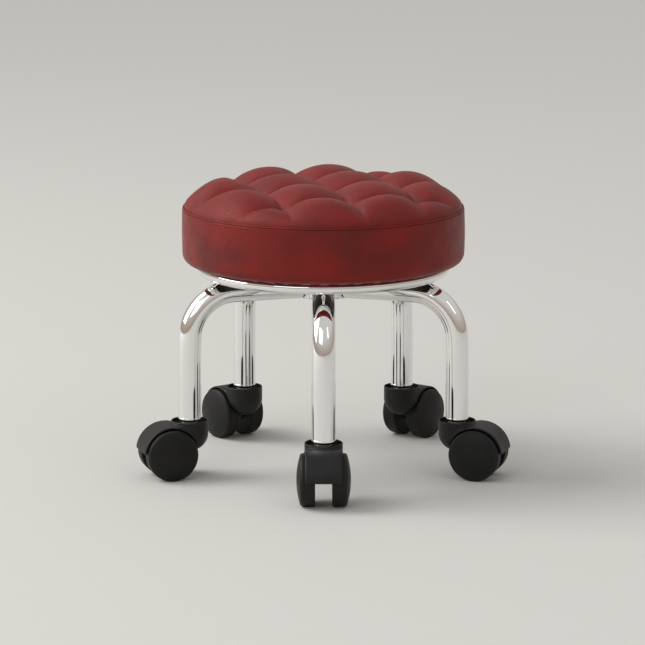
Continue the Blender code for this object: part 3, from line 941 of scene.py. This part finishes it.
    def swelling(self) -> Rise:
        """Blow a coarse copy of the panel up as cloth, held at its pulled points and rim.

        The copy is remeshed and swells under pressure without gravity. How far each of its points rises,
        up to a cap, is averaged on a square raster that is then read between its points.

        Returns:
            Function of x and y about the stool's axis that gives the rise.
        """
        coarse = self.surface(self.cloth_spacing, 160, self.cloth_fullness)
        item = added("seat_top_cloth", coarse.mesh("seat_top_cloth"))
        scene = bpy.context.scene
        bpy.context.view_layer.objects.active = item
        item.select_set(True)
        item.data.remesh_voxel_size = self.cloth_spacing
        bpy.ops.object.voxel_remesh()
        start = points_of(item.data)
        x, y = (start - self.stance.axis)[:, 0], (start - self.stance.axis)[:, 1]
        u, v = self.lattice(x, y)
        distance = self.from_pull(u, v)
        top = start[:, 2] > self.rim_height + 0.001
        held = ~top | (distance < self.pull_radius) | (np.hypot(x, y) > self.edge - 0.006)
        group = item.vertex_groups.new(name="held")
        group.add(np.flatnonzero(held).tolist(), 1.0, "REPLACE")
        cloth = item.modifiers.new("cloth", "CLOTH")
        for name, value in self.cloth_settings.items():
            setattr(cloth.settings, name, value)
        cloth.settings.effector_weights.gravity = 0.0
        cloth.settings.vertex_group_mass = group.name
        cloth.collision_settings.use_collision = False
        for frame in range(1, self.cloth_frames + 1):
            scene.frame_set(frame)
        shaped = item.evaluated_get(bpy.context.evaluated_depsgraph_get())
        end = points_of(shaped.data)
        scene.frame_set(1)
        rise = np.where(top, np.clip(end[:, 2] - start[:, 2], -self.cap, self.cap), 0.0)
        mean, most = 1e3 * rise[top].mean(), 1e3 * rise.max()
        LOG.info("cloth: rise %.1f mm on the mean, %.1f mm at most", mean, most)
        bpy.data.objects.remove(item)
        return self.raster(x[top], y[top], rise[top])

    def raster(self, x: Grid, y: Grid, rise: Grid) -> Rise:
        """Return a function of x and y that reads scattered rises from a smoothed raster of them."""
        count = int(2 * (self.edge + 0.01) / self.raster_step)
        low = -count * self.raster_step / 2
        column = np.clip(np.round((x - low) / self.raster_step).astype(int), 0, count - 1)
        row = np.clip(np.round((y - low) / self.raster_step).astype(int), 0, count - 1)
        total, weight = np.zeros((count, count)), np.zeros((count, count))
        np.add.at(total, (row, column), rise)
        np.add.at(weight, (row, column), 1.0)
        kernel = np.array([1.0, 2.0, 1.0]) / 4
        for _ in range(2):
            for axis in (0, 1):
                total = np.apply_along_axis(np.convolve, axis, total, kernel, mode="same")
                weight = np.apply_along_axis(np.convolve, axis, weight, kernel, mode="same")
        field_of_rise = total / np.maximum(weight, 1e-3)

        def read(at_x: Grid, at_y: Grid) -> Grid:
            """Read the raster at places, between its points."""
            i = np.clip((at_x - low) / self.raster_step, 0, count - 1.001)
            j = np.clip((at_y - low) / self.raster_step, 0, count - 1.001)
            i0, j0 = i.astype(int), j.astype(int)
            fi, fj = i - i0, j - j0
            top_row = field_of_rise[j0, i0] * (1 - fi) + field_of_rise[j0, i0 + 1] * fi
            low_row = field_of_rise[j0 + 1, i0] * (1 - fi) + field_of_rise[j0 + 1, i0 + 1] * fi
            share = np.clip(np.hypot(at_x, at_y) / self.edge, 0, 1)
            return (top_row * (1 - fj) + low_row * fj) * (1 - share**self.rim_fade)

        return read

    def build(self) -> None:
        rise = self.swelling()
        surface = self.surface(self.ring_spacing, self.columns, self.cloth_fullness, rise)
        item = show("seat_top_panel", surface.mesh("seat_top_panel"), VINYL, "root", "seat_cushion_top")


def points_of(mesh: bpy.types.Mesh) -> Grid:
    """Return the places of a mesh's points, one in each row."""
    out = np.empty(len(mesh.vertices) * 3, np.float32)
    mesh.vertices.foreach_get("co", out)
    return out.reshape(-1, 3).astype(float)


@dataclass
class SeatCover:
    """The vinyl band round the seat, its piping and the staples under the board."""

    stance: Stance
    seat_radius: float = 0.140
    bottom: float = 0.2093
    corner: float = 0.009
    thickness: float = 0.0018
    band_top: float = 0.2628
    turn_under: float = 0.012
    fold_thickness: float = 0.0023
    bulge: float = 0.0006
    slack: float = 0.00035
    gathers: int = 84
    gather_depth: float = 0.0003
    columns: int = 504
    seam_height: float = 0.2636
    piping_radius: float = 0.0009
    piping_centre: float = 0.1389
    stitch_pitch: float = 0.0042
    staple_count: int = 44
    staple_width: float = 0.0095
    staple_radius: float = 0.0004

    def wander(self, angle: Grid, height: Grid) -> Grid:
        """Slow unevenness of the stretched band, -1 to 1: waves round and up it with seeded phases."""
        rng = np.random.default_rng(SEED)
        waves = [(3, 20.0), (5, 45.0), (8, 30.0), (13, 60.0)]
        phases = rng.uniform(0, 2 * np.pi, (len(waves), 2))
        parts = [
            np.cos(n * angle + p[0]) * np.cos(k * height + p[1]) / (i + 1)
            for i, ((n, k), p) in enumerate(zip(waves, phases))
        ]
        return sum(parts) / 2

    def band(self) -> Surface:
        """Band with a rolled upper edge, a rounded lower corner and its edge gathered under the board.

        Its radius is the outline's plus a bulge that follows a half sine up the wall and the band's slow
        unevenness. Under the corner it is drawn into gathers, a sharpened cosine round the seat.
        """
        inner, fold = self.seat_radius - self.thickness, self.seat_radius - self.corner - self.turn_under
        under = self.bottom + self.fold_thickness
        outline = rounded(
            [
                (inner, self.band_top, 0.0006),
                (self.seat_radius, self.band_top, 0.0011),
                (self.seat_radius, self.bottom, self.corner),
                (fold, self.bottom, 0.0004),
                (fold, under, 0.0004),
                (inner, under, self.corner - self.thickness),
            ],
            steps=8,
        )
        outline = filled(np.vstack([outline, outline[:1]]), 0.0018)[:-1]
        r, z = outline[:, :1], outline[:, 1:]
        angle = full_turn(self.columns)[None]
        wall_height = self.band_top - self.bottom - self.corner / 2
        wall = np.clip((z - self.bottom - self.corner / 2) / wall_height, 0, 1)
        outside = np.clip((r - inner) / self.thickness, 0, 1)
        push = outside * np.sin(np.pi * wall) * (self.bulge + self.slack * self.wander(angle, z))
        corner_inside = self.seat_radius - self.corner
        low = np.clip(1 - (z - self.bottom) / 0.001, 0, 1)
        low = low * np.clip((corner_inside - 0.003 - r) / 0.004, 0, 1)
        fold_wave = np.abs(np.cos(self.gathers / 2 * angle + 1.4 * self.wander(angle, z))) ** 3
        lift = self.gather_depth * low * fold_wave * (z < under - 0.0003)
        points = polar(r + push, angle, z + lift)
        # painted shade in the gathers under the corner and along the rolled top edge
        crease = 0.8 * low * fold_wave + 0.25 * np.exp(-(((self.band_top - z) / 0.0009) ** 2)) * outside
        return Surface(points + self.stance.axis, True, marks={Mark.CREASE: crease})

    def piping(self) -> Surface:
        """Thin piping in the seam: a ring whose tube is drawn in a little at every stitch of the seam."""
        angle = full_turn(900)
        count = round(2 * np.pi * self.seat_radius / self.stitch_pitch)
        tube = self.piping_radius * (1 - 0.05 * np.abs(np.cos(count / 2 * angle)) ** 4)
        out = np.stack([np.cos(angle), np.sin(angle), 0 * angle], axis=1)
        centres = self.piping_centre * out + self.stance.axis + np.array([0.0, 0.0, self.seam_height])
        up = np.broadcast_to(np.array([0.0, 0.0, 1.0]), out.shape)
        return carried(centres, out, up, tube, 16, closed=True)

    def staples(self, radius: float, height: float, count: int) -> Surface:
        """Row of staple crowns pressed into the underside, each turned by a few degrees as by hand."""
        rng = np.random.default_rng(SEED + count)
        angles = (np.arange(count) + rng.uniform(-0.12, 0.12, count)) * 2 * np.pi / count
        crown = pill(self.staple_width, self.staple_radius, rows=10, sides=8)
        turn = rng.uniform(-0.16, 0.16, count)[:, None, None]
        local = np.repeat(crown[None], count, axis=0)
        x = local[..., 0] * np.cos(turn) - local[..., 1] * np.sin(turn)
        y = local[..., 0] * np.sin(turn) + local[..., 1] * np.cos(turn)
        c, s = np.cos(angles)[:, None, None], np.sin(angles)[:, None, None]
        round_x, round_y = radius * c - x * s + y * c, radius * s + x * c + y * s
        points = np.stack([round_x, round_y, local[..., 2] + height], axis=-1)
        return Surface(points + self.stance.axis)

    def build(self) -> None:
        """Make the band, piping and staples."""
        band = show("seat_band_cover", self.band().mesh("seat_band_cover"), VINYL, "root", "seat_side_band")
        show("seat_piping", self.piping().mesh("seat_piping"), VINYL, "root", "seat_welt")
        edge = self.seat_radius - self.corner - 0.55 * self.turn_under
        staples = self.staples(edge, self.bottom, self.staple_count)
        show("seat_cover_staples", staples.mesh("seat_cover_staples"), ZINC, "root")


@dataclass
class SeatCore:
    """What the cover is stretched over: the foam pad, and the dust cloth that closes the underside."""

    stance: Stance
    foam_round: float = 0.006
    cloth_thickness: float = 0.0005
    sag: float = 0.0004
    wrinkle: float = 0.00022
    columns: int = 360

    def foam(self) -> Surface:
        """Foam disc with softened edges."""
        low, high = span_of("seat_foam_pad", 2)
        radius = self.stance.reach("seat_foam_pad")
        outline = rounded(
            [
                (0.0, high, 0.0),
                (radius, high, self.foam_round),
                (radius, low, self.foam_round / 2),
                (0.0, low, 0.0),
            ]
        )
        return turned(filled(outline, 0.004), 180, upright(self.stance.axis))

    def cloth(self) -> tuple[Surface, float]:
        """Dust cloth stretched over the underside, round the mounting plate.

        It sags by a half sine from edge to edge, with radial wrinkles that grow towards both edges.

        Returns:
            The closed thin surface, and its flat area.
        """
        low, high = span_of("seat_dust_cover", 2)
        outer = self.stance.reach("seat_dust_cover")
        inner = self.stance.reach("mounting_plate") + 0.0006
        share = np.linspace(0, 1, 28)
        radius = inner + (outer - inner) * share
        angle = full_turn(self.columns)[None]
        taut = np.sin(np.pi * share)[:, None]
        edge_wave = np.cos(22 * angle + 2 * np.sin(3 * angle)) * (1 - taut)
        wave = edge_wave + 0.6 * np.cos(9 * angle + 5 * share[:, None]) * taut
        wrinkles = self.wrinkle * (1 + wave) * np.abs(np.sin(2 * np.pi * share))[:, None]
        face = high - self.cloth_thickness - self.sag * taut - wrinkles
        bottom = np.maximum(face, low)
        top = bottom + self.cloth_thickness
        r = np.concatenate([radius, radius[::-1]])[:, None]
        z = np.concatenate([bottom, top[::-1]])
        points = polar(r, angle, z) + self.stance.axis
        return Surface(points, True), math.pi * (outer**2 - inner**2)

    def build(self) -> None:
        """Make the foam and the cloth."""
        foam = show("seat_foam_core", self.foam().mesh("seat_foam_core"), FOAM, "root", "seat_foam_pad")
        surface, area = self.cloth()
        mesh = surface.mesh("seat_dust_cloth")
        cloth = show("seat_dust_cloth", mesh, SPUNBOND, "root", "seat_dust_cover")
        width = 2 * self.stance.reach("seat_dust_cover")


@dataclass
class TubeFrame:
    """Chromed frame: five bent legs welded to a hub, the ring, and the bushes in the legs."""

    stance: Stance
    leg_radius: float = 0.1395
    bend_radius: float = 0.046
    ease: float = math.radians(5)
    ease_reach: float = 0.014
    run_height: float = 0.184
    lower_end: float = 0.0602
    tube: float = 0.0114
    wall: float = 0.0015
    lip: float = 0.0006
    hub_radius: float = 0.0225
    hub_bottom: float = 0.173
    hub_wall: float = 0.003
    hub_round: float = 0.002
    sides: int = 56
    row_spacing: float = 0.0022
    bead: float = 0.0011
    bead_pitch: float = 0.0015
    bush_bore: float = 0.0058
    bush_play: float = 0.0007
    bush_gap: float = 0.0003

    def along_leg(self, place: Placement, distance: Grid) -> tuple[Grid, Grid]:
        """Read a leg's centre line: out from the hub, round a quarter circle and straight down.

        The bend eases out: its last few degrees, the ease, die away exponentially down the leg. Its start is
        moved in by the ease times its reach, so that the leg still ends straight under its place.

        Args:
            place: The leg's frame.
            distance: Distances along the line from the hub.

        Returns:
            Points of the line, and the unit vectors across it that point up on the run and out on the leg.
        """
        run = self.leg_radius - self.bend_radius - self.hub_radius - self.lip - self.ease * self.ease_reach
        bend_end = run + self.bend_radius * (np.pi / 2 - self.ease)

        def tilt(s: Grid) -> Grid:
            """Angle that the line has turned through at a distance."""
            left = self.ease * np.exp(-np.maximum(s - bend_end, 0) / self.ease_reach)
            return np.where(s < bend_end, np.clip((s - run) / self.bend_radius, 0, None), np.pi / 2 - left)

        fine = np.linspace(0, distance.max() + 0.001, 6000)
        step = fine[1] - fine[0]
        turn_fine = tilt(fine)
        x_fine = np.concatenate([[0], np.cumsum(np.cos(turn_fine[:-1]))]) * step
        z_fine = np.concatenate([[0], np.cumsum(np.sin(turn_fine[:-1]))]) * step
        turn = tilt(distance)
        x = self.hub_radius + self.lip + np.interp(distance, fine, x_fine)
        z = self.run_height - np.interp(distance, fine, z_fine)
        centres = np.stack([x, 0 * x, z], axis=1)
        normals = np.stack([np.sin(turn), 0 * turn, np.cos(turn)], axis=1)
        return place.carry(centres), normals @ place.axes.T

    def leg(self, place: Placement) -> Surface:
        """Leg tube: the outline of its wall, with rolled lips, carried along the centre line."""
        run = self.leg_radius - self.bend_radius - self.hub_radius - self.lip
        length = run + self.bend_radius * math.pi / 2 + self.run_height - self.bend_radius - self.lower_end
        inner = self.tube - self.wall
        wall = rounded(
            [
                (0.0, inner, self.lip),
                (0.0, self.tube, self.lip),
                (length, self.tube, self.lip),
                (length, inner, self.lip),
            ],
            steps=4,
        )
        wall = filled(np.vstack([wall, wall[:1]]), self.row_spacing)[:-1]
        centres, normals = self.along_leg(place, wall[:, 0])
        across = np.broadcast_to(place.axes[:, 1], centres.shape)
        return carried(centres, normals, across, wall[:, 1], self.sides, closed=True)

    def ring(self) -> Surface:
        """Ring under the seat's edge: a circle turned about the stool's axis."""
        low, high = span_of("seat_ring", 2)
        outer = self.stance.reach("seat_ring")
        tube = (high - low) / 2
        angle = full_turn(40)
        r, z = outer - tube + tube * np.cos(angle), (low + high) / 2 + tube * np.sin(angle)
        section = np.stack([r, z], axis=1)
        return turned(section, 320, upright(self.stance.axis), closed=True)

    def hub(self) -> Surface:
        """Hub: a shallow cup, open at the top, with rounded edges."""
        inner, top = self.hub_radius - self.hub_wall, self.run_height + self.tube
        floor = self.hub_bottom + self.hub_wall
        outline = rounded(
            [
                (0.0, floor, 0.0),
                (inner, floor, 0.0015),
                (inner, top, 0.0008),
                (self.hub_radius, top, 0.0008),
                (self.hub_radius, self.hub_bottom, self.hub_round),
                (0.0, self.hub_bottom, 0.0),
            ]
        )
        return turned(filled(outline, 0.003), 96, upright(self.stance.axis))

    def hub_bead(self, place: Placement) -> Surface:
        """Weld bead where a leg meets the hub: the curve of the two cylinders' meeting, carried with a tube.

        At angle t round the leg the curve is at y = a cos t, z = a sin t and x = root of (hub radius squared
        - y squared). The tube's radius ripples as a run of overlapping weld drops does.
        """
        t = full_turn(240)
        reach = self.tube + 0.15 * self.bead
        y, z = reach * np.cos(t), reach * np.sin(t)
        x = np.sqrt(self.hub_radius**2 - y**2) + 0.25 * self.bead
        lowest, highest = self.hub_bottom + 0.0006, self.run_height + self.tube - 0.0002
        height = np.clip(self.run_height + z, lowest, highest)
        centres = np.stack([x, y, height], axis=1)
        out = np.stack([0 * t, np.cos(t), np.sin(t)], axis=1)
        along = np.broadcast_to(np.array([1.0, 0.0, 0.0]), out.shape)
        drops = round(2 * math.pi * self.tube / self.bead_pitch)
        radii = self.bead * (0.86 + 0.14 * np.abs(np.sin(drops / 2 * t)))
        across, along = out @ place.axes.T, along @ place.axes.T
        return carried(place.carry(centres), across, along, radii, 12, closed=True)

    def bush(self, index: int) -> Surface:
        """Flanged bush in a leg's end, whose rounded flange closes the tube."""
        low, high = span_of(f"leg_insert_{index}", 2)
        left, right = span_of(f"leg_insert_{index}", 0)
        flange = (right - left) / 2
        bore, sleeve = self.bush_bore, self.tube - self.wall - self.bush_play
        seat = self.lower_end - self.bush_gap
        outline = rounded(
            [
                (bore, high, 0.0004),
                (sleeve, high, 0.0006),
                (sleeve, seat, 0.0002),
                (flange, seat, 0.0006),
                (flange, low, 0.0024),
                (bore, low, 0.0004),
            ]
        )
        return turned(outline, 64, upright(foot(f"leg_insert_{index}")), closed=True)

    def build(self) -> None:
        """Make the ring, the hub and, for each leg, its tube, weld bead and bush."""
        show("frame_ring", self.ring().mesh("frame_ring"), CHROME, "root", "seat_ring")
        show("frame_hub", self.hub().mesh("frame_hub"), CHROME, "root", "leg_hub")
        for index in range(1, LEG_COUNT + 1):
            place = self.stance.leg_frame(index)
            leg = self.leg(place).mesh(f"frame_leg_{index}")
            show(f"frame_leg_{index}", leg, CHROME, "root", f"leg_{index}")
            bead = self.hub_bead(place).mesh(f"hub_weld_{index}")
            show(f"hub_weld_{index}", bead, CHROME, "root")
            bush = self.bush(index).mesh(f"leg_bush_{index}")
            show(f"leg_bush_{index}", bush, CHROME, "root", f"leg_insert_{index}")


@dataclass
class Hood(Solid):
    """Moulded hood of a twin-wheel caster: X runs along the trail, Z up from under the stem."""

    trail: float = 0.0224
    axle_height: float = 0.0254
    fender: float = 0.0285
    well: float = 0.0266
    half_width: float = 0.01775
    web_half: float = 0.0075
    lower_edge: float = 0.0276
    inner_side: float = 0.0008
    boss: float = 0.0045
    socket: float = 0.0185
    socket_top: float = 0.0565
    ball_height: float = 0.044
    cup: float = 0.0173
    cup_floor: float = 0.053
    bore: float = 0.0059
    bore_end: float = 0.0373
    axle_bore: float = 0.00285
    edge: float = 0.0016
    web_blend: float = 0.0030
    boss_blend: float = 0.0015
    rim_edge: float = 0.0007
    bore_edge: float = 0.0006
    well_edge: float = 0.0012
    cup_edge: float = 0.0008
    step: float = 0.00062

    def depth(self, p: Grid) -> Grid:
        """Fender, socket with a ball under it and axle boss, less the cup, bores and two wells."""
        x, y, z = p[..., 0], p[..., 1], p[..., 2]
        from_axle = np.hypot(x - self.trail, z - self.axle_height)
        from_stem = np.hypot(x, y)
        drum = smooth_most(from_axle - self.fender, np.abs(y) - self.half_width, self.edge)
        drum = smooth_most(drum, self.lower_edge - z, 1.4 * self.edge)
        drum = smooth_most(drum, self.inner_side - x, self.edge)
        ball = np.hypot(from_stem, np.minimum(z - self.ball_height, 0)) - self.socket
        ball = smooth_most(ball, z - self.socket_top, self.rim_edge)
        boss = smooth_most(from_axle - self.boss, np.abs(y) - self.web_half, self.bore_edge)
        body = smooth_least(smooth_least(drum, ball, self.web_blend), boss, self.boss_blend)
        well = smooth_most(from_axle - self.well, self.web_half - np.abs(y), self.well_edge)
        cup = smooth_most(from_stem - self.cup, self.cup_floor - z, self.cup_edge)
        bore = np.maximum(from_stem - self.bore, self.bore_end - z)
        holes = np.minimum(np.minimum(cup, bore), from_axle - self.axle_bore)
        body = smooth_most(body, -well, self.rim_edge)
        return smooth_most(body, -holes, self.bore_edge)

    def shape(self) -> tuple[Grid, Grid, dict[Mark, Grid]]:
        """Return the hood's points and faces, with marks for its worn edges and for the painted shade in its
        cup and wheel wells.
        """
        margin = 0.0013
        reach = max(self.socket, self.half_width) + margin
        low = np.array([-self.socket - margin, -reach, self.axle_height - self.boss - margin])
        high = np.array([self.trail + self.fender + margin, reach, self.socket_top + margin])
        points, faces = self.skin(low, high, self.step)
        worn = np.clip((self.bulge(points) - 250.0) / 900.0, 0, 1)
        x, y, z = points.T
        # painted shade mask: the cup and the wheel wells
        in_cup = (z < self.socket_top - 0.0004) & (z > self.cup_floor - 0.0006)
        in_cup &= np.hypot(x, y) < self.cup + 0.0002
        in_well = np.hypot(x - self.trail, z - self.axle_height) < self.well + 0.0003
        return points, faces, {Mark.EDGE: worn, Mark.CREASE: (in_cup | in_well).astype(float)}


@dataclass
class Wheel:
    """Half of a twin wheel, turned about its own axis: Z = 0 is the caster's middle plane."""

    radius: float = 0.0254
    inner_face: float = 0.0081
    outer_face: float = 0.02615
    dome_start: float = 0.0243
    dome_foot: float = 0.0224
    tread_end: float = 0.0206
    bore: float = 0.0028
    bore_depth: float = 0.020
    groove_radius: float = 0.0222
    groove: float = 0.00022
    rim_width: float = 0.0026
    recess: float = 0.0022
    recess_start: float = 0.0032
    recess_end: float = 0.0095
    boss_radius: float = 0.0085
    steps: int = 128

    def outline(self) -> Grid:
        """Outline from the middle of the domed face round the tread to the blind bore.

        The dome is an arc of the radius (a squared + h squared) / 2h, where a is its half width and h its
        height. A shallow groove, a narrow bell curve, marks where the cap meets the rim.
        """
        rise = self.outer_face - self.dome_foot
        arc = (self.dome_start**2 + rise**2) / (2 * rise)
        r = np.linspace(0, self.dome_start - 0.0004, 46)
        z = self.outer_face - arc + np.sqrt(arc**2 - r**2)
        z = z - self.groove * np.exp(-(((r - self.groove_radius) / 0.00035) ** 2))
        shoulder = rounded(
            [
                (self.dome_start, self.dome_foot, 0.0),
                (self.radius, self.tread_end, 0.0008),
                (self.radius, self.inner_face, 0.0009),
                (self.radius - self.rim_width, self.inner_face, 0.0005),
                (self.radius - self.recess_start, self.inner_face + self.recess, 0.0006),
                (self.recess_end, self.inner_face + self.recess, 0.0006),
                (self.boss_radius, self.inner_face, 0.0005),
                (self.bore, self.inner_face, 0.0003),
                (self.bore, self.bore_depth, 0.0),
                (0.0, self.bore_depth, 0.0),
            ]
        )
        return np.concatenate([np.stack([r, z], axis=1), shoulder])

    def surface(self, place: Placement) -> Surface:
        """Return the wheel at a frame whose Z points out of its cap."""
        return turned(self.outline(), self.steps, place)


@dataclass
class Casters:
    """Five twin-wheel casters: stem, hood, axle and two wheels on each."""

    stance: Stance
    hood: Hood = field(default_factory=Hood)
    wheel: Wheel = field(default_factory=Wheel)
    stem_round: float = 0.0006
    stem_radius: float = 0.0055
    stem_tip: float = 0.001
    shoulder_radius: float = 0.009
    shoulder_top: float = 0.0556
    shoulder_gap: float = 0.001
    axle_radius: float = 0.0025
    axle_half: float = 0.0195

    def stem(self, index: int) -> Surface:
        """Stem with its shoulder, turned about the swivel axis."""
        low, high = span_of(f"caster_stem_{index}", 2)
        radius, shoulder, top = self.stem_radius, self.shoulder_radius, self.shoulder_top
        bottom = self.hood.cup_floor + self.shoulder_gap
        outline = rounded(
            [
                (0.0, high, 0.0),
                (radius, high, self.stem_tip),
                (radius, top, 0.0002),
                (shoulder, top, self.stem_round),
                (shoulder, bottom, self.stem_round),
                (radius, bottom, 0.0002),
                (radius, low, self.stem_round),
                (0.0, low, 0.0),
            ]
        )
        return turned(outline, 48, upright(foot(f"caster_stem_{index}")))

    def axle(self, index: int) -> Surface:
        """Axle pin with rounded ends, across the caster."""
        radius, half = self.axle_radius, self.axle_half
        outline = rounded(
            [(0.0, half, 0.0), (radius, half, 0.0006), (radius, -half, 0.0006), (0.0, -half, 0.0)]
        )
        place = lying(middle(f"caster_axle_{index}"), self.stance.azimuth(index), Side.LEFT.value)
        return turned(outline, 32, place)

    def build(self) -> None:
        """Make every caster's pieces and let them ride on their bodies."""
        points, faces, marks = self.hood.shape()
        for index in range(1, LEG_COUNT + 1):
            body, azimuth = f"caster_{index}", self.stance.azimuth(index)
            stem = self.stem(index).mesh(f"caster_pin_{index}")
            show(f"caster_pin_{index}", stem, ZINC, "root", f"caster_stem_{index}")
            under = upright(foot(f"caster_stem_{index}"), azimuth)
            hood = mesh_of(f"caster_cover_{index}", under.carry(points), faces, marks)
            show(f"caster_cover_{index}", hood, MOULDED, body, f"caster_hood_{index}")
            axle = self.axle(index).mesh(f"caster_spindle_{index}")
            show(f"caster_spindle_{index}", axle, ZINC, body, f"caster_axle_{index}")
            centre = middle(f"caster_axle_{index}")
            for side in Side:
                name = f"wheel_{index}_{side.name.lower()}"
                wheel = self.wheel.surface(lying(centre, azimuth, side.value)).mesh(f"{name}_tyre")
                show(f"{name}_tyre", wheel, TREAD, name, name)


@dataclass
class Fasteners:
    """The frame's own nodes whose shape is already right, and the finish that each takes."""

    finishes: dict[str, Finish] = field(
        default_factory=lambda: {
            "seat_board": PLYWOOD,
            "mounting_plate": ZINC,
            "seat_bolt": ZINC,
            "seat_t_nut": ZINC,
            "ring_bracket": CHROME,
        }
    )

    def build(self, nodes: dict[str, bpy.types.Object]) -> None:
        """Dress every node whose name starts with one of the names."""
        for name, item in nodes.items():
            for start, finish in self.finishes.items():
                if name.startswith(start):
                    finish.dress(item)
                    LOG.info("%s: kept from the frame", name)


# ---- studio --------------------------------------------------------------------------------------


def stand(item: bpy.types.Object, aim: Vector, azimuth: float, elevation: float, distance: float) -> None:
    """Stand a light or a camera off a place that it points at.

    Args:
        item: The light or camera.
        aim: The place.
        azimuth: Direction from the place, seen from above, in degrees.
        elevation: Angle above the floor in degrees.
        distance: How far off it stands.
    """
    turn, rise = math.radians(azimuth), math.radians(elevation)
    flat = math.cos(rise)
    way = Vector((flat * math.cos(turn), flat * math.sin(turn), math.sin(rise)))
    item.location = aim + way * distance
    item.rotation_euler = way.to_track_quat("Z", "Y").to_euler()


@dataclass(frozen=True)
class Softbox:
    """A rectangular light: where it stands as seen from the stool, its size, power and colour."""

    name: str
    azimuth: float
    elevation: float
    distance: float
    width: float
    height: float
    power: float
    colour: Colour = (1.0, 1.0, 1.0)

    def build(self, aim: Vector) -> None:
        """Hang the light and point it at a place."""
        light = bpy.data.lights.new(self.name, "AREA")
        light.shape, light.size, light.size_y = "RECTANGLE", self.width, self.height
        light.energy, light.color = self.power, self.colour
        stand(added(self.name, light), aim, self.azimuth, self.elevation, self.distance)


@dataclass
class Studio:
    """Pale paper floor, soft lights, surroundings for the chrome to mirror, and the camera."""

    aim: Vector
    camera_azimuth: float = -90.1
    camera_elevation: float = 11.26
    camera_distance: float = 3.001
    lens: float = 167.44
    floor_radius: float = 16.0
    lights: tuple[Softbox, ...] = (
        Softbox("left", 178.0, 30.0, 3.6, 2.2, 2.4, 66.0, (1.0, 0.985, 0.965)),
        Softbox("front", -120.0, 34.0, 4.4, 2.4, 2.2, 26.0),
        Softbox("right", -40.0, 36.0, 5.0, 0.7, 1.8, 5.0, (0.98, 0.99, 1.0)),
    )
    sky: Colour = (1.0, 0.995, 0.975)
    wall: Colour = (0.62, 0.50, 0.41)
    strength: float = 0.62
    sun_azimuth: float = 166.0
    sun_elevation: float = 48.0
    sun_spread: float = 34.0
    sun_strength: float = 1.05

    def floor(self) -> None:
        """Lay the paper: a disc whose rings widen with the square of their number."""
        radius = self.floor_radius * np.linspace(0, 1, 40) ** 2
        outline = np.stack([radius, 0 * radius], axis=1)
        surface = turned(outline, 128, upright(np.zeros(3)))
        PAPER.dress(added("studio_floor", surface.mesh("studio_floor")))

    def surroundings(self) -> None:
        """Light the scene evenly from a pale room whose walls are darker and warmer near the horizon."""
        world = bpy.data.worlds.new("studio_room")
        world.use_nodes = True
        nodes, links = world.node_tree.nodes, world.node_tree.links
        way = nodes.new("ShaderNodeTexCoord")
        part = nodes.new("ShaderNodeSeparateXYZ")
        ramp = nodes.new("ShaderNodeValToRGB")
        links.new(way.outputs["Generated"], part.inputs[0])
        links.new(part.outputs["Z"], ramp.inputs[0])
        links.new(ramp.outputs["Color"], nodes["Background"].inputs["Color"])
        stops = ramp.color_ramp.elements
        stops[0].position, stops[0].color = 0.02, (*self.wall, 1)
        stops[1].position, stops[1].color = 0.50, (*self.sky, 1)
        nodes["Background"].inputs["Strength"].default_value = self.strength
        bpy.context.scene.world = world

    def sun(self) -> None:
        """Hang a broad far light whose shadows fall the same way everywhere on the floor."""
        light = bpy.data.lights.new("far_light", "SUN")
        light.energy, light.angle = self.sun_strength, math.radians(self.sun_spread)
        light.color = (1.0, 0.985, 0.96)
        stand(added("far_light", light), self.aim, self.sun_azimuth, self.sun_elevation, 0.0)

    def camera(self) -> None:
        """Stand the camera at its angle and distance and aim it."""
        camera = bpy.data.cameras.new("studio_camera")
        camera.lens, camera.sensor_width = self.lens, 36.0
        camera.clip_start, camera.clip_end = 0.05, 60.0
        item = added("studio_camera", camera)
        stand(item, self.aim, self.camera_azimuth, self.camera_elevation, self.camera_distance)
        bpy.context.scene.camera = item

    def build(self) -> None:
        """Set the whole studio up."""
        self.floor()
        self.surroundings()
        self.camera()
        self.sun()
        for light in self.lights:
            light.build(self.aim)
        bpy.context.scene.view_settings.view_transform = "Standard"


def main() -> None:
    """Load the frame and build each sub-assembly on it."""
    logging.basicConfig(level=logging.INFO, format="%(message)s")
    for item in list(bpy.data.objects):
        bpy.data.objects.remove(item, do_unlink=True)
    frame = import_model()
    stance = Stance()
    aim = Vector((AIM_ASIDE, float(stance.axis[1]), AIM_HEIGHT))
    Studio(aim).build()
    Fasteners().build(frame["nodes"])
    SeatCore(stance).build()
    TuftedTop(stance).build()
    SeatCover(stance).build()
    TubeFrame(stance).build()
    Casters(stance).build()


if __name__ == "__main__":
    main()
